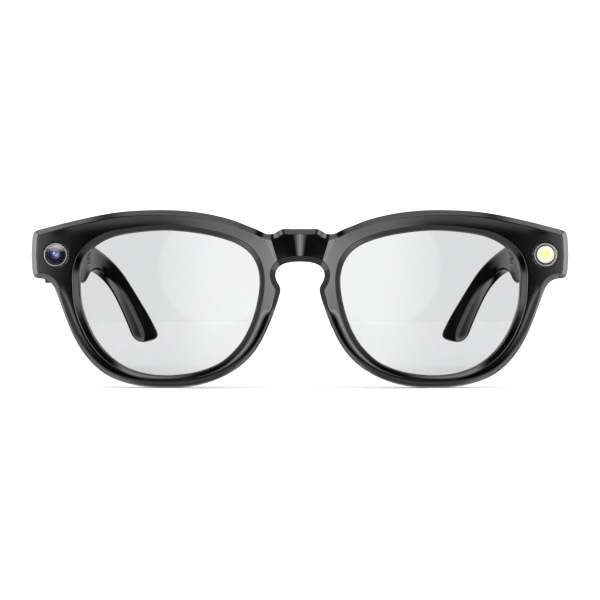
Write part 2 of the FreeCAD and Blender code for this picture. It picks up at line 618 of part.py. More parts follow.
def make_contents(label, side):
    """Hinge leaf, battery, boards, speaker and buttons; returns what they cut from shell and cover."""
    leaf = make_leaf(f"temple_leaf_{label}", side, "temple_plate", "temple_web", (1, 3))
    sunk = "dims.temple_inner + dims.screw_sunk"
    screws = [screw(f"plate_screw_{label}_{end}", side, "X", sunk, f"dims.plate_screw_{end}",
                    "dims.plate_screw_height", "dims.plate_screw_length") for end in ("near", "far")]
    screws.append(screw(f"panel_screw_{label}", side, "X", sunk, "dims.panel_screw_depth",
                        "dims.panel_screw_height", "dims.panel_screw_length"))
    keep(cut(f"temple_leaf_drilled_{label}", leaf, *screws[:2]), f"hinge_temple_leaf_{label}")
    keep(group(f"screws_{label}", *screws), f"temple_screws_{label}")

    keep(block(f"cell_{label}", side, "battery"), f"battery_{label}")
    keep(block(f"driver_{label}", side, "speaker"), f"speaker_{label}")
    keep(block(f"mesh_{label}", side, "speaker_grille"), f"speaker_grille_{label}")
    keep(block(f"mic_{label}", side, "microphone"), f"microphone_{label}")
    cuts = {"shell": list(screws), "cover": list(screws)}
    if side == LEFT:
        keep(block("link_circuit", side, "link_board"), "link_board_left")
        return cuts

    keep(block("main_circuit", side, "main_board"), "main_board_right")
    keep(block("touch_strip", side, "touch_sensor"), "touch_sensor")
    pads = [rod(f"contact_{end}", side, "X", "dims.temple_inner", f"dims.contact_{end}",
                "dims.contact_height", "dims.contact_radius", "dims.contact_length")
            for end in ("near", "far")]
    magnets = [rod(f"magnet_{end}", side, "X", "dims.temple_inner + dims.magnet_sunk", f"dims.magnet_{end}",
                   "dims.contact_height", "dims.magnet_radius", "dims.magnet_length")
               for end in ("near", "far")]
    keep(group("contact_pair", *pads), "charge_contacts")
    keep(group("magnet_pair", *magnets), "charge_magnets")
    cuts["cover"] += pads + magnets

    switches = [block("switch_top", side, "shutter_switch"), block("switch_low", side, "power_switch")]
    keep(group("switches", *switches), "button_switches")
    for name in ("shutter", "power"):
        cap = fuse(f"{name}_cap_body", block(f"{name}_cap", side), block(f"{name}_flange", side))
        keep(cap, f"{name}_button")
    cuts["shell"] += [slot("shutter_slot", side, "shutter_cap"), block("shutter_recess", side),
                      slot("power_slot", side, "power_cap"), block("power_recess", side)]
    return cuts


# ---------------------------------------------------------------- assembly and export

grooves = []
for label, side in SIDES.items():
    keep(make_lens(f"lens_solid_{label}", side, size("lens_in_groove"), "dims.lens_setback",
                   "dims.lens_thickness"), f"lens_{label}")
    grooves.append(make_lens(f"lens_groove_{label}", side, size("lens_in_groove"), "dims.lens_setback",
                             "dims.lens_thickness"))
flex = keep(make_flex(), "front_flex")
moulding = make_front(grooves, flex)
hinge_screws = make_hinges()
front = keep(cut("front_drilled", moulding, *hinge_screws), "front_frame")
keep(group("leaf_screws", *hinge_screws), "hinge_screws")
make_camera()
make_lamp()
make_nose_pads()
make_end_covers()
for label, side in SIDES.items():
    make_temple(label, side)
doc.recompute()

faults = [item.Name for item in doc.Objects if {"Invalid", "Error"} & set(item.State)]
faults += [item.Label for item in parts if item.Shape.isNull() or not item.Shape.isValid()]
if faults:
    raise RuntimeError(f"failed objects: {faults}")

os.makedirs("parts", exist_ok=True)
for item in parts:
    item.Shape.exportStep(f"parts/{item.Label}.step")
    box = item.Shape.BoundBox
    print(f"{item.Label:26s} {item.Shape.Volume:9.2f} mm3  {len(item.Shape.Solids)} solid(s)  "
          f"x {box.XMin:7.2f} {box.XMax:7.2f}  y {box.YMin:7.2f} {box.YMax:7.2f}  "
          f"z {box.ZMin:7.2f} {box.ZMax:7.2f}")
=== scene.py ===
"""Looks of the smart glasses: moulded front, temples, glass, lamp and camera, floor, light and camera.

Shapes are worked out in millimetres in the design frame: x to the wearer's left, depth from the
bridge's front, height from the lens centreline. to_metres() carries them to the part's frame.
"""
import math

import bmesh
import bpy
import numpy as np
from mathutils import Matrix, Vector, geometry, kdtree


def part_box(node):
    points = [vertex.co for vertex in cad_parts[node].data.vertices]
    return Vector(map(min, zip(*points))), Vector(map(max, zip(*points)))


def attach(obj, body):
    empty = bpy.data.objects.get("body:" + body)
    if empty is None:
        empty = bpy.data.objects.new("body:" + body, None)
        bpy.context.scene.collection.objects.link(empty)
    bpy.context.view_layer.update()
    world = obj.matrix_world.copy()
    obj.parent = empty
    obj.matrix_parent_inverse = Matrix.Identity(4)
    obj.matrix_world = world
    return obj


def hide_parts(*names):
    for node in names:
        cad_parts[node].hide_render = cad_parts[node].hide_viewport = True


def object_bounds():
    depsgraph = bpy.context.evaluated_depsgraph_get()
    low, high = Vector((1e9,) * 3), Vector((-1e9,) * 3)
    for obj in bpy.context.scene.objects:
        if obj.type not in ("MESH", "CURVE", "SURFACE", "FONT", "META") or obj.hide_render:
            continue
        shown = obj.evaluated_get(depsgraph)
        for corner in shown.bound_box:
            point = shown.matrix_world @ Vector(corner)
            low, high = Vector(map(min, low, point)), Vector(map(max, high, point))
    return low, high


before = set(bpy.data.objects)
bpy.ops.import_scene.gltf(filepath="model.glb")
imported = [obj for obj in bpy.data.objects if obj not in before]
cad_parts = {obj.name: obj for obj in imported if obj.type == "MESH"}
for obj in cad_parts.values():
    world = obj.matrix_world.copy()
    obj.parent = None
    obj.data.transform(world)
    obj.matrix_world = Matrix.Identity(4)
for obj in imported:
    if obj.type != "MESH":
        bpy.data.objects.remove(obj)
CAD_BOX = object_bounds()

MM = 0.001
LEFT, RIGHT = 1, -1
SIDES = {"left": LEFT, "right": RIGHT}

EYE_HEIGHT = 12.0
front_low, front_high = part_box("front_frame")
lamp_low, lamp_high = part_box("lamp_bezel")
camera_low, camera_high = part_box("camera_bezel")
DEPTH_ZERO = front_low.y / MM
HEIGHT_ZERO = (lamp_low.z + lamp_high.z) / 2 / MM - EYE_HEIGHT
LAMP_OUT = (lamp_low.x + lamp_high.x) / 2 / MM
CAMERA_OUT = -(camera_low.x + camera_high.x) / 2 / MM
ORIGIN = np.array([0.0, DEPTH_ZERO, HEIGHT_ZERO])


def to_metres(points):
    """Design points (x, depth, height) in millimetres to the part's frame in metres."""
    return (np.asarray(points, float) + ORIGIN) * MM


# ---------------------------------------------------------------- curves


def smooth_curve(points, spacing, closed=False):
    """Points at an even spacing along the cubic spline through the given points."""
    points = np.asarray(points, float)
    if closed:
        points = np.vstack([points, points[:1]])
    steps = np.linalg.norm(np.diff(points, axis=0), axis=1)
    knots = np.concatenate([[0], np.cumsum(steps)])
    count = len(points)
    system = np.zeros((count, count))
    right = np.zeros((count, points.shape[1]))
    slopes = np.diff(points, axis=0) / steps[:, None]
    for i in range(1, count - 1):
        system[i, i - 1:i + 2] = steps[i - 1], 2 * (steps[i - 1] + steps[i]), steps[i]
        right[i] = 6 * (slopes[i] - slopes[i - 1])
    if closed:
        system[0, 0], system[0, 1], system[0, -2] = 2 * (steps[-1] + steps[0]), steps[0], steps[-1]
        right[0] = 6 * (slopes[0] - slopes[-1])
        system[-1, -1], system[-1, 0] = 1, -1
    else:
        system[0, 0] = system[-1, -1] = 1
    bends = np.linalg.solve(system, right)
    samples = []
    for i, step in enumerate(steps):
        u = np.linspace(0, step, 24, endpoint=False)[:, None]
        v = step - u
        samples.append((bends[i] * v**3 + bends[i + 1] * u**3) / (6 * step)
                       + (points[i] / step - bends[i] * step / 6) * v
                       + (points[i + 1] / step - bends[i + 1] * step / 6) * u)
    samples = np.vstack(samples + [points[-1:]])
    return resample(samples, spacing, closed)


def resample(line, spacing, closed):
    """Points at an even spacing along a polyline."""
    lengths = np.concatenate([[0], np.cumsum(np.linalg.norm(np.diff(line, axis=0), axis=1))])
    count = max(int(round(lengths[-1] / spacing)), 4)
    stops = np.linspace(0, lengths[-1], count + 1)
    if closed:
        stops = stops[:-1]
    return np.stack([np.interp(stops, lengths, line[:, i]) for i in range(line.shape[1])], axis=1)


def ramp(value, low, high):
    """Smooth step from 0 at low to 1 at high."""
    share = np.clip((value - low) / (high - low), 0, 1)
    return share * share * (3 - 2 * share)


def soft_corner(value, radius):
    """max(value, 0) with its corner rounded over the radius."""
    rounded = np.where(value < -radius, 0, (value + radius) ** 2 / (4 * radius))
    return np.where(value > radius, value, rounded)


# ---------------------------------------------------------------- outlines of the front

CAMERA_DISTANCE = 480.0
OUTLINE_DISTANCE = 487.3
WRAP_RADIUS = 400.0
CROWN = 1.3

HALF_OUTLINE = [
    (0, 19.12), (2.8, 19.12), (5.2, 19.0), (6.25, 18.45), (7.3, 17.86), (8.5, 17.75), (9.6, 17.92),
    (11.0, 18.58), (14.5, 20.05), (17.6, 21.3), (21.5, 22.45), (25.9, 23.4), (30.5, 24.02), (37, 24.4),
    (42, 24.34), (48.5, 23.95), (54.3, 23.12), (61, 21.7), (67.6, 20.08), (69.4, 19.6), (72.1, 18.88),
    (73.15, 18.35), (73.62, 17.3), (73.85, 15.0), (73.98, 12.3), (73.87, 9.6), (73.6, 7.0), (73.25, 6.15),
    (72.5, 5.62), (71.3, 5.5), (69.75, 5.1), (68.5, 4.2), (67.5, 2.6), (66.5, 0.0), (65.4, -3.1),
    (63.8, -7.3), (61.75, -11.7), (58.85, -16.1), (54.1, -20.55), (49.5, -22.8), (43, -24.25), (37, -24.6),
    (31.5, -24.4), (25.9, -23.35), (19.3, -20.55), (14.8, -17.2), (11.75, -13.55), (9.5, -9.5),
    (7.75, -5.35), (6.35, -1.4), (5.55, 1.35), (5.4, 2.6), (6.0, 4.1), (6.65, 5.5), (6.75, 6.8),
    (6.35, 8.0), (5.2, 9.15), (3.4, 9.85), (1.6, 10.1), (0, 10.15)]
APERTURE = [
    (11.2, 3.0), (11.4, 7.4), (13.1, 11.55), (16.6, 14.6), (20.7, 16.3), (24.6, 17.33), (30, 18.25),
    (36.5, 18.76), (42.5, 18.5), (48, 17.8), (52.6, 16.65), (56.2, 14.7), (59.2, 11.6), (60.6, 7.8),
    (60.7, 3.5), (60.3, -1.3), (59.1, -5.45), (57.4, -9.3), (55.2, -12.75), (52.5, -15.75), (49.4, -18.1),
    (45.9, -19.8), (41, -20.95), (36.5, -21.18), (31.8, -20.85), (25, -19.1), (21.7, -17.43),
    (18.8, -15.05), (16.3, -12.15), (14.4, -8.85), (12.9, -5.15), (11.85, -1.2)]
EDGE_SPACING = 0.32


def mirrored(points, side):
    return [(side * x, z) for x, z in points]


def onto_face(loop):
    """Outlines are drawn as they look from straight ahead at the end pieces' distance; this carries them
    to where the wrapped face really lies."""
    shrink = (CAMERA_DISTANCE + CROWN + wrap(loop[:, :1])) / OUTLINE_DISTANCE
    return loop * shrink


def front_loops():
    """Outer outline and both lens openings, as dense closed loops that run anticlockwise."""
    outline = HALF_OUTLINE + [(-x, z) for x, z in reversed(HALF_OUTLINE[1:-1])]
    shapes = [outline] + [mirrored(APERTURE, side) for side in SIDES.values()]
    return [anticlockwise(onto_face(smooth_curve(shape, EDGE_SPACING, closed=True))) for shape in shapes]


def signed_area(loop):
    ahead = np.roll(loop, -1, axis=0)
    return 0.5 * np.sum(loop[:, 0] * ahead[:, 1] - ahead[:, 0] * loop[:, 1])


def anticlockwise(loop):
    loop = np.asarray(loop, float)
    return loop if signed_area(loop) > 0 else loop[::-1]


def inward_offset(loop, distance):
    """A loop moved to its left, which is into the area it runs round."""
    along = np.roll(loop, -1, axis=0) - np.roll(loop, 1, axis=0)
    along /= np.linalg.norm(along, axis=1)[:, None]
    return loop + distance * np.stack([-along[:, 1], along[:, 0]], axis=1)


def inside(loop, points):
    """Which points lie inside a closed loop, by crossings."""
    ahead = np.roll(loop, -1, axis=0)
    result = np.zeros(len(points), bool)
    for start in range(0, len(points), 2000):
        x, z = points[start:start + 2000, 0, None], points[start:start + 2000, 1, None]
        spans = (loop[:, 1] > z) != (ahead[:, 1] > z)
        rise = np.where(ahead[:, 1] == loop[:, 1], 1, ahead[:, 1] - loop[:, 1])
        crossing = loop[:, 0] + (z - loop[:, 1]) * (ahead[:, 0] - loop[:, 0]) / rise
        result[start:start + 2000] = np.sum(spans & (x < crossing), axis=1) % 2 == 1
    return result


class Edge:
    """A closed loop that answers how far points lie from it, and which place on it is nearest."""

    def __init__(self, loop):
        self.loop = loop
        self.tree = kdtree.KDTree(len(loop))
        for index, (x, z) in enumerate(loop):
            self.tree.insert((x, z, 0), index)
        self.tree.balance()

    def nearest(self, points):
        count = len(self.loop)
        close = np.array([self.tree.find((x, z, 0))[1] for x, z in points])
        best, place = np.full(len(points), np.inf), np.zeros((len(points), 2))
        for first in (close - 1, close):
            start, end = self.loop[first % count], self.loop[(first + 1) % count]
            run = end - start
            share = np.clip(np.sum((points - start) * run, axis=1) / np.sum(run * run, axis=1), 0, 1)
            foot = start + share[:, None] * run
            gap = np.linalg.norm(points - foot, axis=1)
            closer = gap < best
            best[closer], place[closer] = gap[closer], foot[closer]
        return best, place


# ---------------------------------------------------------------- surfaces of the front

RIM_BACK = 5.5
BLOCK_INNER, BLOCK_BACK, BLOCK_BOTTOM = 62.6, 14.0, 4.9
EYE_RADIUS = 3.2
ARCH_RISE, ARCH_RIDGE, FACET_SLOPE = 1.25, 0.16, 0.05
RING_WIDTH, RING_DROP = 1.4, 0.75
LIP_WIDTH, LIP_DROP = 0.28, 0.25
BEVEL_WIDTH, BEVEL_DROP = 1.45, 1.0
ROUND_WIDTH, ROUND_DROP = 3.0, 1.5
LENS_FRONT, LENS_BACK, LENS_IN_GROOVE = 1.2, 3.1, 0.5
BROW_WIDTH, BROW_DROP = 5.15, 0.16
CREASE, OUTER_CREASE = 0.06, 0.12 / 1.4
STEP = 0.03
# Each crease beside the bridge's arch: |x| at one height, that height, and how it widens upward. Both
# creases stop narrowing a little below that height.
ARCH_CREASE, FACET_CREASE = (6.24, 10.75, 0.312), (6.54, 9.86, 0.442)
BRIDGE_START, BRIDGE_FULL = 7.6, 9.0
BACK_EDGE, BACK_LENS_EDGE, BLOCK_EDGE = (0.9, 0.6), (0.7, 0.4), (0.4, 0.35)
# The end pieces are hollow from the back: |x| and height of the seat, and how deep its floor lies.
SEAT, SEAT_DEPTH = ((63.2, 73.2), (6.0, 17.6)), 11.25
EYE_FLOOR, EYE_BREAK = SEAT_DEPTH - 0.2, 0.12


def wrap(x):
    """How far the face lies back at a distance from the centre plane."""
    return WRAP_RADIUS - np.sqrt(WRAP_RADIUS**2 - x * x)


def crease(z, line):
    """How far from the centre plane a crease beside the arch lies at a height."""
    start, height, slope = line
    return start + np.maximum(z - height, -2) * slope


def edge_bevel(gap, width, radius=CREASE):
    """Share of a bevel's drop: 1 at the edge, 0 from its width inward, with a soft crease."""
    return soft_corner((width - gap) / width, radius)


def front_surface(points, outer, lens):
    """Depth of the front face: wrapped, rounded along the lower rim, bevelled elsewhere, and arched at the
    bridge. outer and lens are each the distance to an edge and the nearest place on it."""
    x, z = points[:, 0], points[:, 1]
    edge, place = outer
    lens_gap, lens_place = lens
    depth = CROWN + wrap(x)
    # The arch stands forward between two creases, each with a narrow facet beside it.
    bridge = ramp(z, BRIDGE_START, BRIDGE_FULL)
    half, facet = crease(z, ARCH_CREASE), crease(z, FACET_CREASE)
    away = np.abs(x)
    drop = FACET_SLOPE * np.maximum(facet - half, 0)
    depth = depth + bridge * FACET_SLOPE * np.maximum(facet - away, 0) * (away > half - 0.001)
    ridge = ARCH_RIDGE * half
    fall = (np.hypot(away, ridge) - ridge) / (np.hypot(half, ridge) - ridge)
    arch = drop - (ARCH_RISE + drop) * (1 - fall)
    depth = depth + bridge * arch * (away <= half - 0.001)
    # Lens bevel, wider at the temporal side, with a fine lip along the lens.
    temporal = ramp(np.abs(lens_place[:, 0]), 46, 58)
    width, drop = RING_WIDTH + 0.4 * temporal, RING_DROP + 0.16 * temporal
    depth = depth + drop * edge_bevel(lens_gap, width) + LIP_DROP * edge_bevel(lens_gap, LIP_WIDTH)
    # Outer bevel: crisp along the brow, the end pieces and the nose, rounded along the lower rim.
    side, height = np.abs(place[:, 0]), place[:, 1]
    brow = ramp(height, 15, 20) * ramp(side, 9, 22) * (1 - ramp(side, 61, 69))
    pillow = np.clip((BROW_WIDTH - edge) / (BROW_WIDTH - BEVEL_WIDTH), 0, 1)
    depth = depth + brow * BROW_DROP * pillow**2
    nose = ramp(-side, -12.5, -11.0)
    crisp = np.where(nose > 0, ramp(height, -6.5, -3.0), ramp(height, -3.0, 4.0))
    width = (BEVEL_WIDTH + 0.15 * ramp(side, 72.4, 73.2) * ramp(height, 5.6, 7.0)
             - 0.5 * nose * ramp(-height, -5, 3))
    bevel = BEVEL_DROP * width / BEVEL_WIDTH * edge_bevel(edge, width, OUTER_CREASE)
    lip = np.clip((ROUND_WIDTH - edge) / ROUND_WIDTH, 0, 1)
    rounded = ROUND_DROP * (1 - np.sqrt(np.maximum(1 - lip**2.2, 0)))
    return depth + crisp * bevel + (1 - crisp) * rounded


def back_surface(points, outer, lens):
    """Depth of the back: rims of even depth, and deep blocks behind the end pieces."""
    x, z = points[:, 0], points[:, 1]
    depth = RIM_BACK + wrap(x)
    for gap, (width, drop) in ((outer[0], BACK_EDGE), (lens[0], BACK_LENS_EDGE)):
        depth = depth - drop * edge_bevel(gap, width)
    block = (np.abs(x) > BLOCK_INNER) & (z > BLOCK_BOTTOM)
    width, drop = BLOCK_EDGE
    depth = np.where(block, BLOCK_BACK - drop * edge_bevel(outer[0], width), depth)
    (inner, outer_end), (low, high) = SEAT
    seat = (np.abs(x) > inner) & (np.abs(x) < outer_end) & (z > low) & (z < high)
    return np.where(seat, SEAT_DEPTH, depth)


def step_points(line):
    """Points in pairs on both sides of a line, so that a step in depth comes out steep."""
    line = resample(np.asarray(line, float), 0.3, False)
    along = np.gradient(line, axis=0)
    along /= np.linalg.norm(along, axis=1)[:, None]
    across = np.stack([-along[:, 1], along[:, 0]], axis=1) * STEP
    return np.vstack([line + across, line - across])


def circle(radius, centre, count=72):
    angles = np.arange(count) * 2 * math.pi / count
    return np.stack([centre[0] + radius * np.cos(angles), centre[1] + radius * np.sin(angles)], axis=1)


LAMP_CENTRE, CAMERA_CENTRE = (LAMP_OUT, EYE_HEIGHT), (-CAMERA_OUT, EYE_HEIGHT)


def flat_at(depth):
    """The depths of a flat sheet."""
    return lambda points: np.full(len(points), depth)


def within(loops, points):
    """Which points lie inside the first loop and outside its openings."""
    return inside(loops[0], points) & ~np.any([inside(loop, points) for loop in loops[1:]], axis=0)


def triangulate(loops, extra):
    """Triangles over an area with openings: loops as edges, plus the free points that lie inside."""
    rings = np.vstack(loops)
    points = np.vstack([rings, extra[within(loops, extra)]])
    edges, start = [], 0
    for loop in loops:
        count = len(loop)
        edges += [(start + i, start + (i + 1) % count) for i in range(count)]
        start += count
    result = geometry.delaunay_2d_cdt([Vector(p) for p in points], edges, [], 0, 1e-5)
    flat = np.array([tuple(v) for v in result[0]])
    faces = np.array([face for face in result[2] if len(face) == 3])
    middles = flat[faces].mean(axis=1)
    home = {origin: index for index, origins in enumerate(result[3]) for origin in origins}
    return flat, faces[within(loops, middles)], [home[i] for i in range(len(rings))]


def sheet_solid(name, loops, near, far, place=to_metres, smooth_angle=35):
    """A closed solid between two sheets over one outline with openings. near and far are pairs of free
    points and the function that gives their depth; place carries (across, depth, up) to the part."""
    vertices, faces, rims = [], [], []
    for turn, (extra, surface) in ((1, near), (-1, far)):
        flat, triangles, rim = triangulate(loops, extra)
        start = len(vertices)
        vertices += list(np.stack([flat[:, 0], surface(flat), flat[:, 1]], axis=1))
        a, b, c = (flat[triangles[:, i]] for i in range(3))
        area = (b[:, 0] - a[:, 0]) * (c[:, 1] - a[:, 1]) - (b[:, 1] - a[:, 1]) * (c[:, 0] - a[:, 0])
        for triangle, signed in zip(triangles, area):
            ordered = triangle if signed * turn > 0 else triangle[::-1]
            faces.append(tuple(start + i for i in ordered))
        rims.append([start + i for i in rim])
    start = 0
    for number, loop in enumerate(loops):
        count = len(loop)
        for i in range(start, start + count):
            j = start + (i - start + 1) % count
            quad = (rims[0][i], rims[1][i], rims[1][j], rims[0][j])
            faces.append(quad if (signed_area(loop) > 0) == (number == 0) else quad[::-1])
        start += count
    return new_object(name, place(vertices), faces, smooth_angle)


def offset_points(loops, distances):
    """Rows of points at set distances from each edge, thinned where rows of two edges would cross."""
    rows, edges = [], [Edge(loop) for loop in loops]
    for number, loop in enumerate(loops):
        sign = 1 if number == 0 else -1
        for distance in distances:
            row = inward_offset(loop, sign * distance)
            gaps = np.stack([edge.nearest(row)[0] for edge in edges])
            own = gaps[number] > distance * 0.93
            rest = np.delete(gaps, number, axis=0)
            clear = rest.min(axis=0) > distance * 0.75 + 0.1 if len(rest) else True
            rows.append(row[own & clear])
    return np.vstack(rows)


def grid_points(loops, spacing, clear):
    """A staggered grid over the front that keeps a distance from its edges."""
    x, z = np.meshgrid(np.arange(-74, 74, spacing), np.arange(-25, 25, spacing * 0.87))
    x[1::2] += spacing / 2
    points = np.stack([x.ravel(), z.ravel()], axis=1)
    points = points[within(loops, points)]
    gaps = np.stack([Edge(loop).nearest(points)[0] for loop in loops]).min(axis=0)
    return points[gaps > clear]


def new_object(name, vertices, faces, smooth_angle=35):
    mesh = bpy.data.meshes.new(name)
    mesh.from_pydata([tuple(v) for v in vertices], [], [tuple(f) for f in faces])
    mesh.validate()
    smooth(mesh, smooth_angle)
    return added(name, mesh)


def smooth(mesh, angle):
    """Shades a mesh smooth except where it bends by more than the angle, in degrees."""
    mesh.shade_smooth()
    mesh.set_sharp_from_angle(angle=math.radians(angle))


def added(name, data):
    """A new object in the scene for a mesh, light or camera."""
    item = bpy.data.objects.new(name, data)
    bpy.context.scene.collection.objects.link(item)
    return item


def dress(item, material):
    item.data.materials.clear()
    item.data.materials.append(material)


def stand_in(item, body, slot, *nodes):
    """Puts a piece on its body, in its slot's material, in place of the CAD nodes it stands for."""
    if nodes:
        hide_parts(*nodes)
    dress(item, materials[slot])
    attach(item, body)
    return item


def build_front():
    """The moulded front: front sheet, back sheet and the walls between them."""
    loops = front_loops()
    near_edges = offset_points(loops, (0.13, 0.22, 0.29, 0.37, 0.6, 0.95, 1.05, 1.28, 1.34, 1.4, 1.46, 1.52,
                                       1.58, 1.66, 1.8, 1.95))
    eyes = [circle(EYE_RADIUS + gap, centre) for centre in (LAMP_CENTRE, CAMERA_CENTRE)
            for gap in (-STEP, STEP, EYE_BREAK)]
    creases = []
    for side in SIDES.values():
        for line in (ARCH_CREASE, FACET_CREASE):
            for shift in (-STEP, STEP, 0.25):
                ends = np.array([(side * (crease(z, line) + shift), z) for z in (9.2, 19.0)])
                creases.append(resample(ends, 0.25, False))
    near = np.vstack([near_edges, grid_points(loops, 0.55, 2.1)] + eyes + creases)

    far = [offset_points(loops, (0.35, 0.8, 1.0)), grid_points(loops, 1.4, 1.6)]
    for side in SIDES.values():
        far.append(step_points([(side * BLOCK_INNER, 24), (side * BLOCK_INNER, BLOCK_BOTTOM),
                                (side * 70, BLOCK_BOTTOM)]))
        (x0, x1), (z0, z1) = SEAT
        corners = [(side * x0, z0), (side * x1, z0), (side * x1, z1), (side * x0, z1), (side * x0, z0)]
        far.append(step_points(corners))
    edges = [Edge(loop) for loop in loops]

    def gaps(points):
        lenses = [edge.nearest(points) for edge in edges[1:]]
        first = lenses[0][0] < lenses[1][0]
        lens_place = np.where(first[:, None], lenses[0][1], lenses[1][1])
        return edges[0].nearest(points), (np.minimum(lenses[0][0], lenses[1][0]), lens_place)

    def front_depth(points):
        depth = front_surface(points, *gaps(points))
        for x, z in (LAMP_CENTRE, CAMERA_CENTRE):
            gap = np.hypot(points[:, 0] - x, points[:, 1] - z) - EYE_RADIUS
            depth = depth + 0.04 * edge_bevel(gap, EYE_BREAK, 0.1) * (gap > 0)
            depth = np.where(gap < 0, EYE_FLOOR, depth)
        return depth

    item = sheet_solid("front_moulding", loops, (near, front_depth),
                       (np.vstack(far), lambda points: back_surface(points, *gaps(points))))
    stand_in(item, "front", "frame_gloss_black", "front_frame")


def build_lens(label, side):
    """A lens ground to the wrap, its edge sunk in the rim."""
    loop = onto_face(smooth_curve(mirrored(APERTURE, side), 0.8, closed=True))
    loop = inward_offset(anticlockwise(loop), -LENS_IN_GROOVE)
    grid = grid_points([loop], 1.0, 0.5)
    item = sheet_solid(f"lens_glass_{label}", [loop],
                       (grid, lambda points: CROWN + wrap(points[:, 0]) + LENS_FRONT),
                       (grid, lambda points: CROWN + wrap(points[:, 0]) + LENS_BACK), smooth_angle=50)
    stand_in(item, "front", "lens_clear", f"lens_{label}")


# ---------------------------------------------------------------- temples

TEMPLE_FRONT, TEMPLE_OUTER = 14.2, 73.88
TOP_LINE = [(14.2, 17.6), (40, 17.6), (60, 17.6), (76, 17.6), (84, 17.5), (92, 17.1), (100, 16.3),
            (110, 14.3), (119, 10.6), (128, 5.0), (136.5, -0.9), (143.0, -5.8), (146.6, -8.9),
            (148.4, -11.0), (149.1, -12.6)]
BOTTOM_LINE = [(14.2, 5.8), (20, 5.68), (28, 5.3), (38, 4.86), (48, 4.68), (60, 4.67), (66.5, 4.67),
               (70, 4.85), (73.5, 5.45), (77, 6.35), (80.5, 7.3), (84, 8.0), (88, 8.45), (93, 8.8),
               (99, 8.9), (105, 8.1), (111, 6.3), (119, 2.1), (128, -5.7), (134.0, -12.1), (136.0, -14.1),
               (137.8, -15.0), (141, -15.15), (145.6, -14.85), (148.0, -14.1), (149.1, -12.6)]
INNER_LINE = [(14.2, 66.2), (40, 66.2), (66, 66.2), (83, 66.2), (90, 65.9), (100, 64.9), (110, 63.1),
              (119, 60.4), (128, 57.4), (136.5, 54.6), (144, 52.1), (149.1, 50.6)]
THICKNESS_LINE = [(14.2, 7.7), (40, 7.7), (60, 7.65), (70, 7.35), (76, 7.0), (83, 6.5), (90, 6.1),
                  (100, 5.4), (110, 4.9), (119, 4.8), (128, 4.9), (136.5, 5.0), (144, 4.9), (149.1, 4.4)]
LEAN_LINE = [(14.2, 0), (90, 0), (100, 0.2), (110, 0.5), (119, 0.9), (128, 1.2), (136.5, 1.4),
             (149.1, 1.2)]
TIP_START, TIP_END, TIP_LENGTH, TIP_NARROWING = 147.0, 149.1, 2.15, 1.6


def along_temple(points, depths):
    """A smooth line's value at each depth."""
    line = smooth_curve(points, 0.2)
    return np.interp(depths, line[:, 0], line[:, 1])


def rounded_rectangle(width, height, radii, corner_steps=8, side_steps=(10, 16)):
    """Corner-rounded rectangle, anticlockwise from its lower right; radii as (right bottom, right top,
    left top, left bottom)."""
    arcs, points = [], []
    corners = zip(((1, -1), (1, 1), (-1, 1), (-1, -1)), (-90, 0, 90, 180), radii)
    for (across, up), turn, radius in corners:
        middle = np.array([across * (width / 2 - radius), up * (height / 2 - radius)])
        angles = np.radians(turn + 90 * np.arange(corner_steps + 1) / corner_steps)
        arcs.append(middle + radius * np.stack([np.cos(angles), np.sin(angles)], axis=1))
    for number, arc in enumerate(arcs):
        steps = side_steps[1 - number % 2]
        share = np.arange(1, steps)[:, None] / steps
        points += [arc, arc[-1] + (arcs[(number + 1) % 4][0] - arc[-1]) * share]
    return np.vstack(points)


def temple_rings(depths, side):
    """Cross-sections of the temple at each depth, as (x, depth, height)."""
    top, bottom, inner, thickness, lean = (along_temple(line, depths) for line in (
        TOP_LINE, BOTTOM_LINE, INNER_LINE, THICKNESS_LINE, LEAN_LINE))
    thickness = np.minimum(thickness, TEMPLE_OUTER - inner)
    end = np.clip((np.asarray(depths) - TIP_START) / TIP_LENGTH, 0, 1)
    narrow = TIP_NARROWING * (1 - np.sqrt(1 - end**2))
    inner, thickness = inner + narrow, thickness - 1.6 * narrow
    rings = []
    for i, depth in enumerate(depths):
        height = max(top[i] - bottom[i], 0.4)
        width = thickness[i]
        ear = float(ramp(depth, 78.0, 104.0))
        limit = 0.49 * min(width, height)
        fine = min(0.9 + 1.5 * ear, limit)
        lower_outer = min(2.9 - 0.8 * ear, limit)
        ring = rounded_rectangle(width, height, (lower_outer, min(1.3 + 0.8 * ear, limit), fine, fine))
        x = inner[i] + width / 2 + ring[:, 0]
        z = (top[i] + bottom[i]) / 2 + ring[:, 1]
        x = x - lean[i] * (0.5 - ring[:, 1] / height)
        rings.append(np.stack([side * x, np.full(len(ring), depth), z], axis=1))
    return rings


def loft(name, rings):
    """A closed skin over rings of equal count, capped at both ends."""
    count = len(rings[0])
    vertices = np.vstack(rings)
    faces = []
    for row in range(len(rings) - 1):
        for i in range(count):
            j = (i + 1) % count
            faces.append((row * count + i, row * count + j, (row + 1) * count + j, (row + 1) * count + i))
    faces.append(tuple(range(count))[::-1])
    faces.append(tuple((len(rings) - 1) * count + i for i in range(count)))
    return outward(new_object(name, to_metres(vertices), faces, 40))


def outward(item):
    """Turns every face outward."""
    shape = bmesh.new()
    shape.from_mesh(item.data)
    bmesh.ops.recalc_face_normals(shape, faces=shape.faces)
    shape.to_mesh(item.data)
    shape.free()
    return item


def shrunk(ring, amount):
    """A ring drawn in towards its middle, for a rounded end."""
    middle = ring.mean(axis=0)
    offset = ring - middle
    reach = np.linalg.norm(offset[:, ::2], axis=1)[:, None]
    return middle + offset * np.maximum(1 - amount / np.maximum(reach, 1e-6), 0.02)


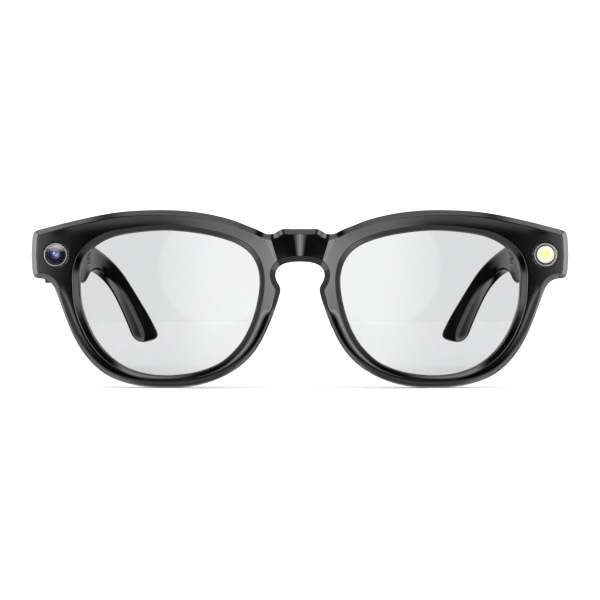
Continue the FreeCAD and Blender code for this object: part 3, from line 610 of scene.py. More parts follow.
def build_temple(label, side):
    """One temple's moulded skin, from the butt at the hinge to the rounded end behind the ear."""
    depths = np.concatenate([np.arange(TEMPLE_FRONT + 0.35, 60, 2.5), np.arange(60, 133, 0.6),
                             np.arange(133, 142, 0.25), np.arange(142, 148.4, 0.3), [148.6, 148.8, 148.95]])
    rings = temple_rings(depths, side)
    butt = temple_rings([TEMPLE_FRONT, TEMPLE_FRONT + 0.12], side)
    rings = [shrunk(butt[0], 0.35), shrunk(butt[1], 0.12)] + rings
    rings.append(shrunk(temple_rings([TIP_END], side)[0], 0.6))
    skin = loft(f"temple_{label}_skin", rings)
    cuts = [(grown(PANEL, PANEL_GAP), "x", *PANEL_CUT), (circle(NOTCH_RADIUS, HINGE_AXIS), "z", *NOTCH_CUT),
            (HINGE_BOX, "z", *HINGE_BOX_CUT),
            (circle(MICROPHONE_RADIUS, MICROPHONE, 24), "z", *MICROPHONE_CUT)]
    if side == RIGHT:
        cuts += [(grown(stadium(*slot), BUTTON_GAP), "z", *cut)
                 for slot, cut in ((SHUTTER, SHUTTER_CUT), (POWER, POWER_CUT))]
    for outline, axis, low, high in cuts:
        carve(skin, prism(outline, axis, side, low, high))
    stand_in(skin, f"temple_{label}", "frame_gloss_black", f"temple_shell_{label}", f"ear_tip_{label}",
             f"core_wire_{label}")


# ---------------------------------------------------------------- fittings of the temples

PANEL = [(16.6, 6.0), (64.0, 6.0), (70.5, 10.5), (82.0, 11.3), (82.0, 16.2), (16.6, 16.2)]
PANEL_DEPTHS = (66.2, 67.2)
PANEL_GAP, PANEL_CUT = 0.08, (65.5, PANEL_DEPTHS[1] + 0.03)
HINGE_AXIS, NOTCH_RADIUS, NOTCH_CUT = (66.0, 14.1), 1.95, (6.9, 15.1)
HINGE_BOX, HINGE_BOX_CUT = [(65.5, 14.0), (68.3, 14.0), (68.3, 17.0), (65.5, 17.0)], (6.95, 15.05)
MICROPHONE, MICROPHONE_RADIUS, MICROPHONE_CUT = (69.3, 27.8), 0.45, (4.0, 6.5)
# Each button: its slot's centre, width and length, the heights its slot is cut between, and its cap's
# outer face, inner end and rounding.
SHUTTER, SHUTTER_CUT, SHUTTER_CAP = ((70.1, 39.0), 2.4, 10.0), (16.3, 18.5), (17.98, 16.25, 0.45)
POWER, POWER_CUT, POWER_CAP = ((71.0, 20.0), 1.4, 5.0), (4.0, 6.3), (4.37, 6.35, 0.3)
BUTTON_GAP, CAP_SPACING, RIDGE_PITCH = 0.12, 0.16, 0.8
GRILLE = ((73.5, 13.3), 8.0, 2.6)
MESH_DEPTHS, MESH_HOLE, MESH_PITCH = (66.42, 66.82), 0.24, (0.82, 0.72)
SCREWS = [(18.4, 11.0), (22.2, 11.0), (80.2, 13.6)]
CONTACTS = [(52.0, 11.1), (57.0, 11.1)]
SCREW_RADIUS, CONTACT_RADIUS = 0.8, 1.1
SCREW_FACE, SCREW_BACK, CONTACT_FACE, CONTACT_BACK = 66.38, 67.15, 66.3, 67.35


def stadium(centre, width, length, steps=16):
    """A slot outline with round ends: width along the first axis, length along the second."""
    radius = min(width, length) / 2
    reach = max(width, length) / 2 - radius
    angles = np.arange(steps + 1) * math.pi / steps
    cap = np.stack([radius * np.cos(angles), radius * np.sin(angles) + reach], axis=1)
    outline = np.vstack([cap, -cap])
    if width > length:
        outline = outline[:, ::-1] * (1, -1)
    return outline + centre


def grown(outline, gap):
    """An outline moved outward by a gap."""
    outline = anticlockwise(outline)
    before, after = outline - np.roll(outline, 1, axis=0), np.roll(outline, -1, axis=0) - outline
    normals = [np.stack([step[:, 1], -step[:, 0]], axis=1) / np.linalg.norm(step, axis=1)[:, None]
               for step in (before, after)]
    middle = normals[0] + normals[1]
    return outline + gap * 2 * middle / np.sum(middle * middle, axis=1)[:, None]


def round_trip(outline, spacing):
    """A closed outline at an even spacing that keeps its first point."""
    return resample(np.vstack([outline, outline[:1]]), spacing, False)[:-1]


def prism(outline, axis, side, low, high):
    """A closed straight-sided solid. Along x its outline is (depth, height), along z it is (x, depth)."""
    if len(outline) < 12:
        outline = round_trip(outline, 0.9)
    vertices = []
    for level in (low, high):
        for first, second in outline:
            point = (level, first, second) if axis == "x" else (first, second, level)
            vertices.append((side * point[0], *point[1:]))
    count = len(outline)
    faces = [tuple(range(count)), tuple(range(count, 2 * count))]
    faces += [(i, (i + 1) % count, count + (i + 1) % count, count + i) for i in range(count)]
    return outward(new_object("cutter", to_metres(vertices), faces))


def carve(item, cutter):
    """Cuts one closed shape out of another and removes the cutter."""
    change = item.modifiers.new("carve", "BOOLEAN")
    change.operation, change.solver, change.object = "DIFFERENCE", "EXACT", cutter
    shaped = item.evaluated_get(bpy.context.evaluated_depsgraph_get())
    mesh = bpy.data.meshes.new_from_object(shaped)
    item.modifiers.clear()
    item.data = mesh
    bpy.data.objects.remove(cutter)


def joined(name, items):
    """Several loose solids as one piece."""
    shape = bmesh.new()
    for item in items:
        shape.from_mesh(item.data)
        bpy.data.objects.remove(item)
    mesh = bpy.data.meshes.new(name)
    shape.to_mesh(mesh)
    shape.free()
    smooth(mesh, 35)
    return added(name, mesh)


def inner_plate(name, side, loops, near, far):
    """A plate seen from the wearer's side: outlines are (depth, height), near and far give |x|."""
    def place(vertices):
        return to_metres(np.asarray(vertices)[:, (1, 0, 2)] * (side, 1, 1))

    return outward(sheet_solid(name, [anticlockwise(loop) for loop in loops], near, far, place, 30))


def build_panel(label, side):
    """Inner cover of the temple: bevelled edge, sunk screw seats, contact bores and a speaker window."""
    loops = [round_trip(PANEL, 0.4)] + [circle(SCREW_RADIUS + 0.1, centre, 32) for centre in SCREWS]
    loops.append(stadium(*GRILLE))
    if side == RIGHT:
        loops += [circle(CONTACT_RADIUS + 0.06, centre, 40) for centre in CONTACTS]
    edges = [Edge(loop) for loop in loops]
    fine = offset_points(loops, (0.15, 0.3, 0.45))
    spots = np.stack(np.meshgrid(np.arange(17, 82, 1.2), np.arange(6.5, 16, 1.1)), axis=-1).reshape(-1, 2)

    def outer_face(points):
        gap = np.stack([edge.nearest(points)[0] for edge in edges]).min(axis=0)
        return PANEL_DEPTHS[0] + 0.02 + 0.22 * edge_bevel(gap, 0.25, 0.1)

    item = inner_plate(f"temple_{label}_panel", side, loops, (np.vstack([fine, spots]), outer_face),
                       (spots, flat_at(PANEL_DEPTHS[1])))
    stand_in(item, f"temple_{label}", "cover_satin_black", f"temple_cover_{label}")


def build_grille(label, side):
    """Perforated speaker plate in the panel's window."""
    centre, width, height = GRILLE
    loops = [stadium(centre, width - 0.06, height - 0.06)]
    for row in range(3):
        for column in range(9 - row % 2):
            along = (column - 4 + 0.5 * (row % 2)) * MESH_PITCH[0]
            up = (row - 1) * MESH_PITCH[1]
            loops.append(circle(MESH_HOLE, (centre[0] + along, centre[1] + up), 12))
    faces = [(np.array([centre]), flat_at(depth)) for depth in MESH_DEPTHS]
    stand_in(inner_plate(f"speaker_mesh_{label}", side, loops, *faces), f"temple_{label}", "grille_mesh",
             f"speaker_grille_{label}")


def build_studs(name, side, centres, radius, relief, far, node, slot, body):
    """Round heads flush in the panel, with a relief given as depth by (radius, angle)."""
    items = []
    for number, centre in enumerate(centres):
        edge = circle(radius, centre, 40)
        spots = [circle(radius * share, centre, max(int(36 * share), 6))
                 for share in np.arange(0.08, 1, 0.08)]

        def near(points, centre=centre):
            away = points - np.array(centre)
            return relief(np.hypot(away[:, 0], away[:, 1]), np.arctan2(away[:, 1], away[:, 0]))

        items.append(inner_plate(f"{name}_{number}", side, [edge], (np.vstack(spots), near),
                                 (np.array([centre]), flat_at(far))))
    stand_in(joined(name, items), body, slot, node)


def screw_relief(radius, angle):
    """Chamfered screw head with a six-lobed socket."""
    socket = 0.4 * (1 + 0.16 * np.cos(6 * angle))
    return SCREW_FACE + 0.2 * soft_corner((radius - 0.62) / 0.18, 0.1) + 0.4 * (radius < socket)


def contact_relief(radius, angle):
    """Charging contact: a shallow dish with a raised rim."""
    dish = 0.1 * np.cos(np.clip(radius / 0.85, 0, 1) * math.pi / 2)
    return CONTACT_FACE + dish + 0.12 * ramp(radius, 0.98, CONTACT_RADIUS)


def build_cap(name, outline, top, bottom, crown, button):
    """A push-button's cap: rounded rim, shallow dish and grip ridges. Its outline is (x, depth), and the
    button is both its body and the CAD node it stands for."""
    outline = round_trip(anticlockwise(outline * (RIGHT, 1)), 0.2)
    edge = Edge(outline)
    low, high = outline.min(axis=0), outline.max(axis=0)
    spots = np.stack(np.meshgrid(*(np.arange(start, end, CAP_SPACING) for start, end in zip(low, high))),
                     axis=-1)
    way = 1 if top > bottom else -1
    middle = outline.mean(axis=0)

    def face(points):
        gap = edge.nearest(points)[0]
        rounding = crown * (1 - np.sqrt(1 - np.clip((crown - gap) / crown, 0, 1) ** 2))
        length = (high[1] - low[1]) / 2
        away = np.abs(points[:, 1] - middle[1])
        ridges = 0.07 * (0.5 - 0.5 * np.cos(points[:, 1] * 2 * math.pi / RIDGE_PITCH))
        ridges = ridges * ramp(-away, -0.55 * length, -0.4 * length)
        dish = 0.12 * np.cos(np.clip(away / length, 0, 1) * math.pi / 2)
        return top - way * (rounding + (ridges + dish) * ramp(gap, 0.2, 0.6))

    def place(vertices):
        return to_metres(np.asarray(vertices)[:, (0, 2, 1)])

    item = sheet_solid(name, [outline], (spots.reshape(-1, 2), face), (np.array([middle]), flat_at(bottom)),
                       place, 30)
    stand_in(outward(item), button, "button_black", button)


# ---------------------------------------------------------------- camera, lamp and nose pads


def lathe(name, profile, centre, steps=72):
    """A closed solid turned about the depth axis from (radius, depth) points; radius 0 makes a pole."""
    vertices, rows, faces = [], [], []
    for radius, depth in profile:
        if radius < 1e-6:
            rows.append([len(vertices)] * steps)
            vertices.append((centre[0], depth, centre[1]))
            continue
        rows.append(list(range(len(vertices), len(vertices) + steps)))
        vertices += [(x, depth, z) for x, z in circle(radius, centre, steps)]
    closing = rows[:1] if profile[0][0] > 1e-6 else []
    for first, second in zip(rows, rows[1:] + closing):
        for i in range(steps):
            j = (i + 1) % steps
            corners = [first[i], first[j], second[j], second[i]]
            faces.append(tuple(dict.fromkeys(corners)))
    return outward(new_object(name, to_metres(vertices), faces, 30))


def dome(radius, depth, rise):
    """Profile of a domed lens, from its pole to its rim."""
    return [(radius * math.sin(a), depth - rise * math.cos(a)) for a in np.linspace(0, math.pi / 2, 12)]


def eye_ring(low, high):
    """Trim ring with a rolled outer lip and an inner chamfer, a hair inside its CAD solid's depth."""
    front, back = (corner.y / MM - DEPTH_ZERO for corner in (low, high))
    front, back = front + 0.02, back - 0.02
    roll = [(RING_LIP + RING_ROLL * math.cos(a), front + RING_ROLL + RING_ROLL * math.sin(a))
            for a in np.radians(np.linspace(0, -180, 9))]
    return [(RING_LIP + RING_ROLL, back)] + roll + [(RING_BORE, front + 0.3), (RING_BORE, back)]


EYE_LENS, EYE_LENS_SHIFT, DISH_SHIFT = 1.6, (-0.46, 0.2), (0.3, 0.12)
RING_LIP, RING_ROLL, RING_BORE = 3.03, 0.14, 2.84
BARREL_BORE, BARREL_FRONT, BARREL_STEPS = 2.25, 8.3, (2.1, 1.9, 1.7, 1.5)
BARREL_BACK = [(1.36, 10.55), (2.19, 10.55), (2.19, 8.9), (2.83, 8.9)]
DISH_RADIUS, DISH_BACK, CHIP_RADIUS = 2.34, 9.95, 1.38
SKIRT = [(2.37, 8.42), (2.5, 8.5), (2.82, 8.5), (2.82, 8.9), (2.37, 8.9)]


def eye_lens_centre():
    """The camera's inner lens sits a little outward of its window."""
    return tuple(middle + shift for middle, shift in zip(CAMERA_CENTRE, EYE_LENS_SHIFT))


def dish_centre():
    """The lamp's dish sits a little outward of its window."""
    return tuple(middle + shift for middle, shift in zip(LAMP_CENTRE, DISH_SHIFT))


def build_eyes():
    """Camera on the wearer's right and lamp on the left: rings, stepped barrel, domed lens, dished lamp."""
    barrel = [(2.83, 8.25), (BARREL_BORE, BARREL_FRONT)]
    for radius in BARREL_STEPS:
        inward = BARREL_BORE - radius
        barrel += [(radius, BARREL_FRONT + inward * 1.1), (radius - 0.06, BARREL_FRONT + 0.12 + inward * 1.3)]
    dish = [(DISH_RADIUS, 8.33)]
    for step in range(1, 6):
        radius = DISH_RADIUS - step * 0.18
        dish += [(radius + 0.05, 8.32 + step * 0.03), (radius, 8.345 + step * 0.03)]
    pieces = (
        ("camera_ring", eye_ring(camera_low, camera_high), CAMERA_CENTRE, "ring_silver", "camera_bezel"),
        ("lamp_ring", eye_ring(lamp_low, lamp_high), LAMP_CENTRE, "ring_silver", "lamp_bezel"),
        ("camera_baffle", barrel + BARREL_BACK, CAMERA_CENTRE, "black_plastic", "camera_barrel"),
        ("camera_eye", dome(EYE_LENS, 8.55, 0.17) + [(EYE_LENS, 9.5), (0, 9.5)], eye_lens_centre(),
         "camera_glass", "camera_element"),
        ("lamp_dish", dish + [(1.41, DISH_BACK), (DISH_RADIUS, DISH_BACK)], dish_centre(), "lamp_white",
         "lamp_reflector"),
        ("lamp_skirt", SKIRT, LAMP_CENTRE, "black_plastic"),
        ("lamp_chip", dome(CHIP_RADIUS, 8.85, 0.22) + [(CHIP_RADIUS, DISH_BACK), (0, DISH_BACK)],
         dish_centre(), "lamp_yellow", "lamp_emitter"))
    for name, profile, centre, slot, *nodes in pieces:
        item = stand_in(lathe(name, profile, centre), "front", slot, *nodes)
        # The camera's lens takes the coating with a painted glow and painted glints.
        if name == "camera_eye":
            dress(item, materials["eye_painted_glow_coating"])


PAD_CENTRE, PAD_LONG, PAD_WIDE, PAD_LEAN = (9.2, -1.2), 6.05, 1.92, 18.0
PAD_FRONT, PAD_FOOT, PAD_TOP = 5.35, 5.75, 9.92
PAD_GROOVE, PAD_RIBS = 0.925, 1.5


def build_nose_pad(label, side):
    """A moulded silicone pad: egg-shaped foot with a shadow groove, domed and flattened where it rests."""
    lean = math.radians(PAD_LEAN)
    angles = np.arange(96) * 2 * math.pi / 96

    def spread_out(reach, turn):
        along = PAD_LONG * np.sin(turn) * reach
        across = PAD_WIDE * np.cos(turn) * (1 - 0.12 * np.sin(turn)) * reach
        x = PAD_CENTRE[0] + across * math.cos(lean) - along * math.sin(lean)
        z = PAD_CENTRE[1] + across * math.sin(lean) + along * math.cos(lean)
        return np.stack([side * x, z], axis=1)

    loop = anticlockwise(spread_out(0.97, angles))
    reaches = (0.02, 0.1, 0.2, 0.3, 0.4, 0.5, 0.6, 0.68, 0.75, 0.81, 0.86, 0.89, 0.915, 0.93, 0.945, 0.96)
    spots = np.vstack([spread_out(reach, angles[::2 if reach > 0.3 else 6]) for reach in reaches])

    def rest(points):
        x, z = side * points[:, 0] - PAD_CENTRE[0], points[:, 1] - PAD_CENTRE[1]
        across, along = x * math.cos(lean) + z * math.sin(lean), z * math.cos(lean) - x * math.sin(lean)
        reach = np.clip(np.hypot(across / PAD_WIDE, along / PAD_LONG), 0, 1)
        rise = (1 - reach**2.6) ** 0.55
        tilt = 1 - 0.10 * across / PAD_WIDE
        groove = 0.25 * np.exp(-((reach - PAD_GROOVE) / 0.012) ** 2)
        ribs = 0.05 * np.sin(along * 2 * math.pi / PAD_RIBS) * ramp(-reach, -0.6, -0.45)
        return PAD_FOOT + (PAD_TOP - PAD_FOOT) * rise * tilt * 0.93 - groove + ribs

    item = sheet_solid(f"nose_rest_{label}", [loop], (spots, flat_at(PAD_FRONT)), (spots, rest),
                       smooth_angle=60)
    stand_in(item, "front", "pad_silicone", f"nose_pad_{label}")


# ---------------------------------------------------------------- materials


class Nodes:
    """Adds nodes to the tree of a material or world and links them."""

    def __init__(self, owner, output="OutputMaterial"):
        owner.use_nodes = True
        self.owner, self.tree = owner, owner.node_tree
        self.tree.nodes.clear()
        self.surface = self.add(output).inputs["Surface"]

    def feed(self, socket, value):
        """Links a socket to an output, or sets its value; one number in a colour's place is a grey."""
        if isinstance(value, bpy.types.NodeSocket):
            self.tree.links.new(value, socket)
        elif socket.type == "RGBA":
            socket.default_value = (*(value if isinstance(value, (tuple, list)) else (value,) * 3), 1)
        else:
            socket.default_value = value

    def add(self, kind, sockets=None, **settings):
        """A node with its settings, and its inputs by name or number."""
        node = self.tree.nodes.new("ShaderNode" + kind)
        for key, value in settings.items():
            setattr(node, key, value)
        for key, value in (sockets or {}).items():
            self.feed(node.inputs[key], value)
        return node

    def math(self, operation, *values):
        return self.add("Math", dict(enumerate(values)), operation=operation).outputs[0]

    def vector(self, operation, *values):
        node = self.add("VectorMath", dict(enumerate(values)), operation=operation)
        return node.outputs["Value" if operation in ("LENGTH", "DISTANCE") else "Vector"]

    def span(self, source, low, high, to_low, to_high, **settings):
        """Carries values from one range to another."""
        return self.add("MapRange", {"Value": source, "From Min": low, "From Max": high, "To Min": to_low,
                                     "To Max": to_high}, **settings).outputs["Result"]

    def noise(self, scale, detail, stretch=(1, 1, 1)):
        """Noise in the object's own space; scale counts features per metre."""
        place = self.add("TexCoord").outputs["Object"]
        stretched = self.add("Mapping", {"Vector": place, "Scale": stretch}).outputs["Vector"]
        return self.add("TexNoise", {"Vector": stretched, "Scale": scale, "Detail": detail}).outputs["Fac"]

    def spread(self, noise, low, high):
        """The middle of a noise's range carried to low and high."""
        return self.span(noise, 0.3, 0.7, low, high)

    def mix(self, factor, first, second):
        return self.add("Mix", {"Factor": factor, 6: first, 7: second}, data_type="RGBA").outputs[2]

    def bump(self, source, strength, distance):
        values = {"Strength": strength, "Distance": distance * MM, "Height": source}
        return self.add("Bump", values).outputs["Normal"]

    def finish(self, shader):
        self.feed(self.surface, shader.outputs[0])
        return self.owner


def new_nodes(name):
    return Nodes(bpy.data.materials.new(name))


def plastic(name, dark, light, rough, bump, grain=900.0, wear=None, metallic=0.0, stretch=(1, 1, 1)):
    """Moulded or metal surface: colour and roughness drift, fine grain, and edges rubbed slightly lighter."""
    nodes = new_nodes(name)
    colour = nodes.mix(nodes.noise(60.0, 2.0), dark, light)
    if wear:
        edges = nodes.span(nodes.add("NewGeometry").outputs["Pointiness"], 0.52, 0.62, 0.0, 0.6)
        colour = nodes.mix(nodes.math("MULTIPLY", edges, nodes.noise(400.0, 3.0)), colour, wear)
    return nodes.finish(nodes.add("BsdfPrincipled", {
        "Base Color": colour, "Metallic": metallic,
        "Roughness": nodes.spread(nodes.noise(140.0, 4.0, stretch), *rough),
        "Normal": nodes.bump(nodes.noise(grain, 2.0, stretch), bump, 0.02)}))


def radial_finish(name, centre, stops, rough, grain, glow=0.0, coat=0.0, spots=()):
    """A surface whose colour runs outward from the axis of the camera or lamp; stops are (mm, colour).
    glow gives that colour off as light: the lamp's own light, and a painted glow on the camera's lens.
    spots are painted glints, soft bright dots in the emitted colour only: (x, z, radius, colour), in mm
    from the axis."""
    nodes = new_nodes(name)
    middle = tuple(to_metres([centre[0], 0, centre[1]]))
    away = nodes.vector("SUBTRACT", nodes.add("TexCoord").outputs["Object"], middle)
    flat = nodes.vector("MULTIPLY", away, (1 / MM, 0, 1 / MM))
    wobbly = nodes.math("MULTIPLY_ADD", nodes.noise(900.0, 2.0), 0.08, nodes.vector("LENGTH", flat))
    widest = stops[-1][0]
    shade = nodes.add("ValToRGB", {"Fac": nodes.math("DIVIDE", wobbly, widest)})
    elements = shade.color_ramp.elements
    for number, (radius, colour) in enumerate(stops):
        stop = elements[number] if number < 2 else elements.new(1.0)
        stop.position = radius / widest
        stop.color = (*colour, 1)
    glow_with_painted_glints = shade.outputs["Color"]
    # Painted glints: soft bright dots mixed into the emitted colour only.
    for across, up, radius, bright in spots:
        near = nodes.span(nodes.vector("DISTANCE", flat, (across, 0, up)), 0.0, radius, 1.0, 0.0,
                          interpolation_type="SMOOTHSTEP")
        glow_with_painted_glints = nodes.mix(near, glow_with_painted_glints, bright)
    return nodes.finish(nodes.add("BsdfPrincipled", {
        "Base Color": shade.outputs["Color"], "Emission Color": glow_with_painted_glints, "Emission Strength": glow,
        "Coat Weight": coat, "Coat IOR": 1.55, "Roughness": nodes.spread(nodes.noise(300.0, 2.0), *rough),
        "Normal": nodes.bump(nodes.noise(grain, 2.0), 0.15, 0.01)}))


def clear_glass(name, tint, tint_deep, rough, index, painted_top_highlight=None):
    """Clear sheet: what is behind shows through a faint tint, and the surface mirrors by Fresnel.
    painted_top_highlight mixes in a pale diffuse film by height, a painted highlight that grows towards
    the top: (colour, low, high, most), heights in mm."""
    nodes = new_nodes(name)
    through = nodes.add("BsdfTransparent", {"Color": nodes.mix(nodes.noise(25.0, 1.0), tint, tint_deep)})
    mirror = nodes.add("BsdfGlossy", {"Roughness": nodes.spread(nodes.noise(80.0, 2.0), rough, rough * 1.6)})
    # Light leaves the sheet at the angle it came in, so the far side mirrors as the near side does.
    turn = nodes.math("MULTIPLY_ADD", nodes.add("NewGeometry").outputs["Backfacing"], -2.0, 1.0)
    fresnel = nodes.add("Fresnel", {"IOR": nodes.math("POWER", index, turn)})
    shader = nodes.add("MixShader", {"Fac": fresnel.outputs["Fac"], 1: through.outputs[0],
                                     2: mirror.outputs[0]})
    if painted_top_highlight:
        # Painted highlight: a pale film mixed in by height, strongest towards the top of the sheet.
        colour, low, high, most = painted_top_highlight
        split = nodes.add("SeparateXYZ", {"Vector": nodes.add("TexCoord").outputs["Object"]})
        height = nodes.span(split.outputs["Z"], (low + HEIGHT_ZERO) * MM, (high + HEIGHT_ZERO) * MM, 0.0,
                            most, interpolation_type="SMOOTHSTEP")
        deeper = [0.8 * part for part in colour]
        highlight_film = nodes.add("BsdfDiffuse", {"Color": nodes.mix(nodes.noise(500.0, 2.0), colour, deeper)})
        shader = nodes.add("MixShader", {"Fac": height, 1: shader.outputs[0], 2: highlight_film.outputs[0]})
    return nodes.finish(shader)


# Each row: darker and lighter colour, roughness from and to, bump, grain per metre, edge wear, metal and
# stretch.
PLASTICS = {
    "frame_gloss_black": ((0.0010, 0.0010, 0.0011), (0.0020, 0.0020, 0.0021), (0.08, 0.12), 0.05, 900.0,
                          0.01),
    "cover_satin_black": ((0.006, 0.006, 0.0065), (0.010, 0.010, 0.0105), (0.2, 0.26), 0.12, 2600.0,
                          (0.06, 0.06, 0.062)),
    "button_black": (0.008, 0.014, (0.26, 0.34), 0.2, 3200.0, (0.06, 0.06, 0.062)),
    "black_plastic": (0.004, 0.009, (0.4, 0.55), 0.3),
    "pad_silicone": ((0.018, 0.018, 0.019), (0.028, 0.028, 0.03), (0.5, 0.62), 0.35, 1800.0),
    "ring_silver": ((0.24, 0.24, 0.245), (0.34, 0.335, 0.34), (0.3, 0.38), 0.25, 1500.0,
                    (0.75, 0.74, 0.72), 1.0),
    "hinge_steel": ((0.40, 0.41, 0.43), (0.52, 0.53, 0.55), (0.26, 0.4), 0.3, 700.0, 0.8, 1.0, (1, 1, 12)),
    "screw_steel": ((0.3, 0.3, 0.31), (0.42, 0.42, 0.43), (0.25, 0.36), 0.25, 1400.0, 0.8, 1.0),
    "contact_gold": ((0.83, 0.58, 0.24), (0.93, 0.68, 0.32), (0.16, 0.26), 0.15, 1400.0, None, 1.0),
    "magnet_nickel": ((0.55, 0.54, 0.52), (0.66, 0.65, 0.62), (0.2, 0.32), 0.2, 900.0, None, 1.0),
    "grille_mesh": ((0.05, 0.05, 0.052), (0.09, 0.09, 0.092), (0.34, 0.46), 0.5, 5200.0, 0.3, 0.8),
    "board_green": ((0.01, 0.09, 0.03), (0.02, 0.16, 0.05), (0.35, 0.5), 0.3, 1200.0),
    "flex_amber": ((0.42, 0.17, 0.03), (0.55, 0.25, 0.05), (0.3, 0.45), 0.2, 1200.0),
    "battery_foil": ((0.45, 0.46, 0.48), (0.6, 0.61, 0.63), (0.25, 0.5), 0.6, 260.0, None, 0.9),
}
# Each row: tint, deeper tint, roughness and index; the camera window also has a painted highlight towards its
# top: (colour, low, high, most).
GLASSES = {
    "lens_clear": ((0.733, 0.735, 0.738), (0.727, 0.729, 0.732), 0.02, 1.42),
    "camera_glass": ((0.9, 0.9, 0.92), (0.86, 0.86, 0.9), 0.03, 1.15, ((0.62, 0.61, 0.57), 12.6, 14.9, 0.8)),
    "lamp_glass": ((0.97, 0.97, 0.96), (0.95, 0.95, 0.94), 0.03, 1.15),
}
LAMP_STOPS = [(0, (1.0, 0.90, 0.25)), (0.7, (1.0, 0.92, 0.33)), (1.4, (1.0, 0.97, 0.62)),
              (1.75, (1.0, 0.98, 0.82)), (2.34, (0.98, 0.98, 0.93))]
# Camera lens coating: colour from the axis outward, given off as a painted glow, and two painted glints as
# (x, z, radius, colour) in mm from the axis.
EYE_STOPS = [(0, (0.03, 0.09, 0.36)), (0.7, (0.016, 0.04, 0.22)), (1.05, (0.012, 0.018, 0.1)),
             (1.35, (0.02, 0.01, 0.05)), (EYE_LENS, (0.003, 0.003, 0.004))]
EYE_PAINTED_GLINTS = [(-0.3, 0.3, 0.55, (0.62, 0.85, 1.0)), (0.35, -0.35, 0.42, (0.5, 0.45, 0.85))]
FINISHES = {
    "frame_gloss_black": ["temple_shell", "ear_tip", "front_frame"], "lens_clear": ["lens"],
    "cover_satin_black": ["temple_cover", "end_cover"], "pad_silicone": ["nose_pad"],
    "ring_silver": ["camera_bezel", "lamp_bezel"], "camera_glass": ["camera_window", "camera_element"],
    "lamp_glass": ["lamp_window"], "lamp_white": ["lamp_reflector"], "lamp_yellow": ["lamp_emitter"],
    "flex_amber": ["front_flex", "touch_sensor"], "screw_steel": ["hinge_screws", "temple_screws"],
    "hinge_steel": ["hinge", "core_wire"], "battery_foil": ["battery"], "grille_mesh": ["speaker_grille"],
    "contact_gold": ["charge_contacts"], "magnet_nickel": ["charge_magnets"],
    "button_black": ["shutter_button", "power_button"],
    "black_plastic": ["camera_barrel", "speaker", "microphone", "button_switches"]}


def node_finish(name):
    """Finish of a CAD node: the longest matching start of its name; boards are green."""
    matches = [(len(start), slot) for slot, starts in FINISHES.items() for start in starts
               if name.startswith(start)]
    return max(matches)[1] if matches else "board_green"


# ---------------------------------------------------------------- stage, light and camera

FLOOR_HALF = 1.3
DISC_PLACE, DISC_SIZE, DISC_POWER = (0.2, -1.17, 0.052), (0.28, 0.105), 0.11
BOX_PLACE, BOX_TARGET, BOX_SIZE, BOX_POWER = (0.7, 0.9, 1.5), (0, 0.2, 0), (1.2, 1.2), 5
# Soft patches of light round the studio: bearing from straight ahead, height, both half widths (degrees)
# and brightness. Each is there on both sides.
STUDIO = [(0, 5, 13, 22, 3.2), (0, 8, 3.2, 22, 4.6), (37.5, 5, 9.5, 14, 3.0), (20, 14, 9, 7.5, 1.4),
          (62, 5, 18, 34, 0.9), (98, 12, 20, 36, 6.0), (0, 55, 32, 9, 4.5), (64, 44, 11, 11, 3.0),
          (78, 56, 16, 12, 3.2), (180, 3, 26, 30, 0.7), (75, -42, 38, 24, 2.6), (0, -40, 60, 14, 1.0)]
BACKDROP, STUDIO_DIM = 1.43, 0.02
# Caps of light overhead and underfoot: heights where they start and are full, and brightness. The one
# underfoot fades towards the front, over the given range of depth.
TOP_CAP, BELOW_CAP, BELOW_FADE = (61, 66, 2.0), (45, 60, 3.6), (-0.15, 0.3, 0.2, 1.0)
FOCAL, SENSOR, FRAME_WIDTH, HORIZON_SHIFT = 106.38, 36.0, 600.0, 1.5


def build_floor():
    """A pale floor, left out of reflections, where the studio's patches of light stand in for it."""
    corners = [(x * FLOOR_HALF, y * FLOOR_HALF, CAD_BOX[0].z)
               for x, y in ((-1, -1), (1, -1), (1, 1), (-1, 1))]
    item = new_object("floor", corners, [(0, 1, 2, 3)])
    nodes = new_nodes("floor_white")
    dress(item, nodes.finish(nodes.add("BsdfPrincipled", {
        "Base Color": nodes.mix(nodes.noise(3.0, 2.0), 0.88, 0.895), "Roughness": 0.8,
        "Specular IOR Level": 0.1})))
    item.visible_glossy = False


def area_light(name, place, target, size, power, shape):
    light = bpy.data.lights.new(name, "AREA")
    light.shape, light.energy = shape, power
    light.size, light.size_y = size
    item = added(name, light)
    item.location = place
    item.rotation_euler = (Vector(target) - Vector(place)).to_track_quat("-Z", "Y").to_euler()


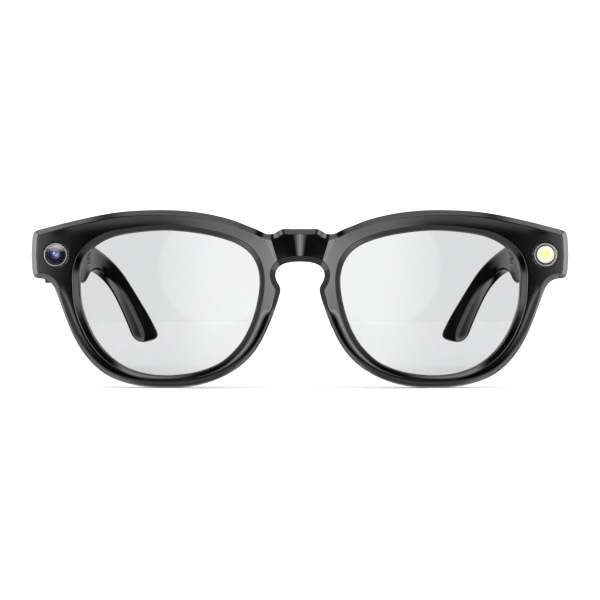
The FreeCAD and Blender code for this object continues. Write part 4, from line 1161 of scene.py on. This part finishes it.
def build_world():
    """The studio seen in reflections: dim, with soft patches of light; the camera sees plain white."""
    bpy.context.scene.world = bpy.data.worlds.new("studio")
    nodes = Nodes(bpy.context.scene.world, "OutputWorld")
    x, y, z = nodes.add("SeparateXYZ", {"Vector": nodes.add("TexCoord").outputs["Generated"]}).outputs
    bearing = nodes.math("ABSOLUTE", nodes.math("ARCTAN2", x, nodes.math("MULTIPLY", y, -1.0)))
    height = nodes.math("ARCSINE", z)

    def cap(sign, start, full, bright):
        return nodes.span(nodes.math("MULTIPLY", height, sign), math.radians(start), math.radians(full), 0.0,
                          bright, interpolation_type="SMOOTHSTEP")

    level = nodes.math("ADD", STUDIO_DIM, cap(1, *TOP_CAP))
    below = nodes.math("MULTIPLY", cap(-1, *BELOW_CAP), nodes.span(y, *BELOW_FADE))
    level = nodes.math("ADD", level, below)
    for turn, rise, wide, tall, bright in STUDIO:
        squares = []
        for angle, middle, half in ((bearing, turn, wide), (height, rise, tall)):
            away = nodes.math("SUBTRACT", angle, math.radians(middle))
            share = nodes.math("DIVIDE", away, math.radians(half))
            squares.append(nodes.math("MULTIPLY", share, share))
        reach = nodes.math("POWER", nodes.math("ADD", *squares), 3.0)
        patch = nodes.math("EXPONENT", nodes.math("MULTIPLY", reach, -1.0))
        level = nodes.math("ADD", level, nodes.math("MULTIPLY", patch, bright))
    studio = nodes.add("Background", {"Color": 1.0, "Strength": level})
    plain = nodes.add("Background", {"Color": 1.0, "Strength": BACKDROP})
    nodes.finish(nodes.add("MixShader", {"Fac": nodes.add("LightPath").outputs["Is Camera Ray"],
                                         1: studio.outputs[0], 2: plain.outputs[0]}))


def build_lights():
    """Round soft lights beside the camera, and large soft boxes overhead that light the floor."""
    for side in SIDES.values():
        mirror = Vector((side, 1, 1))
        area_light(f"disc_{side}", Vector(DISC_PLACE) * mirror, (0, 0, HEIGHT_ZERO * MM), DISC_SIZE,
                   DISC_POWER, "ELLIPSE")
        area_light(f"overhead_{side}", Vector(BOX_PLACE) * mirror, BOX_TARGET, BOX_SIZE, BOX_POWER,
                   "RECTANGLE")


def build_camera():
    """Level view from straight ahead, at the distance that gives the temples their perspective."""
    camera = bpy.data.cameras.new("camera")
    camera.lens, camera.sensor_width = FOCAL, SENSOR
    camera.shift_y = -HORIZON_SHIFT / FRAME_WIDTH
    camera.clip_start, camera.clip_end = 0.01, 20
    item = added("camera", camera)
    item.location = tuple(to_metres([0, -CAMERA_DISTANCE, 0]))
    item.rotation_euler = (math.pi / 2, 0, 0)
    bpy.context.scene.camera = item


# ---------------------------------------------------------------- assembly

materials = {slot: plastic(slot, *look) for slot, look in PLASTICS.items()}
materials.update({slot: clear_glass(slot, *look) for slot, look in GLASSES.items()})
for slot in ("lamp_white", "lamp_yellow"):
    materials[slot] = radial_finish(slot, dish_centre(), LAMP_STOPS, (0.35, 0.45), 2400.0, glow=0.3)
# The camera's lens is no lamp: its glow and its spots are painted light.
materials["eye_painted_glow_coating"] = radial_finish("eye_painted_glow_coating", eye_lens_centre(), EYE_STOPS, (0.05, 0.09), 600.0,
                                         glow=0.9, coat=0.25, spots=EYE_PAINTED_GLINTS)

for name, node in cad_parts.items():
    dress(node, materials[node_finish(name)])
build_front()
build_eyes()
for label, side in SIDES.items():
    for build in (build_temple, build_lens, build_nose_pad, build_panel, build_grille):
        build(label, side)
    build_studs(f"temple_screw_heads_{label}", side, SCREWS, SCREW_RADIUS, screw_relief, SCREW_BACK,
                f"temple_screws_{label}", "screw_steel", f"temple_{label}")
build_studs("contact_pins", RIGHT, CONTACTS, CONTACT_RADIUS, contact_relief, CONTACT_BACK,
            "charge_contacts", "contact_gold", "temple_right")
build_cap("shutter_cap", stadium(*SHUTTER), *SHUTTER_CAP, "shutter_button")
build_cap("power_cap", stadium(*POWER), *POWER_CAP, "power_button")

build_floor()
build_world()
build_lights()
build_camera()
bpy.context.scene.view_settings.view_transform = "Standard"
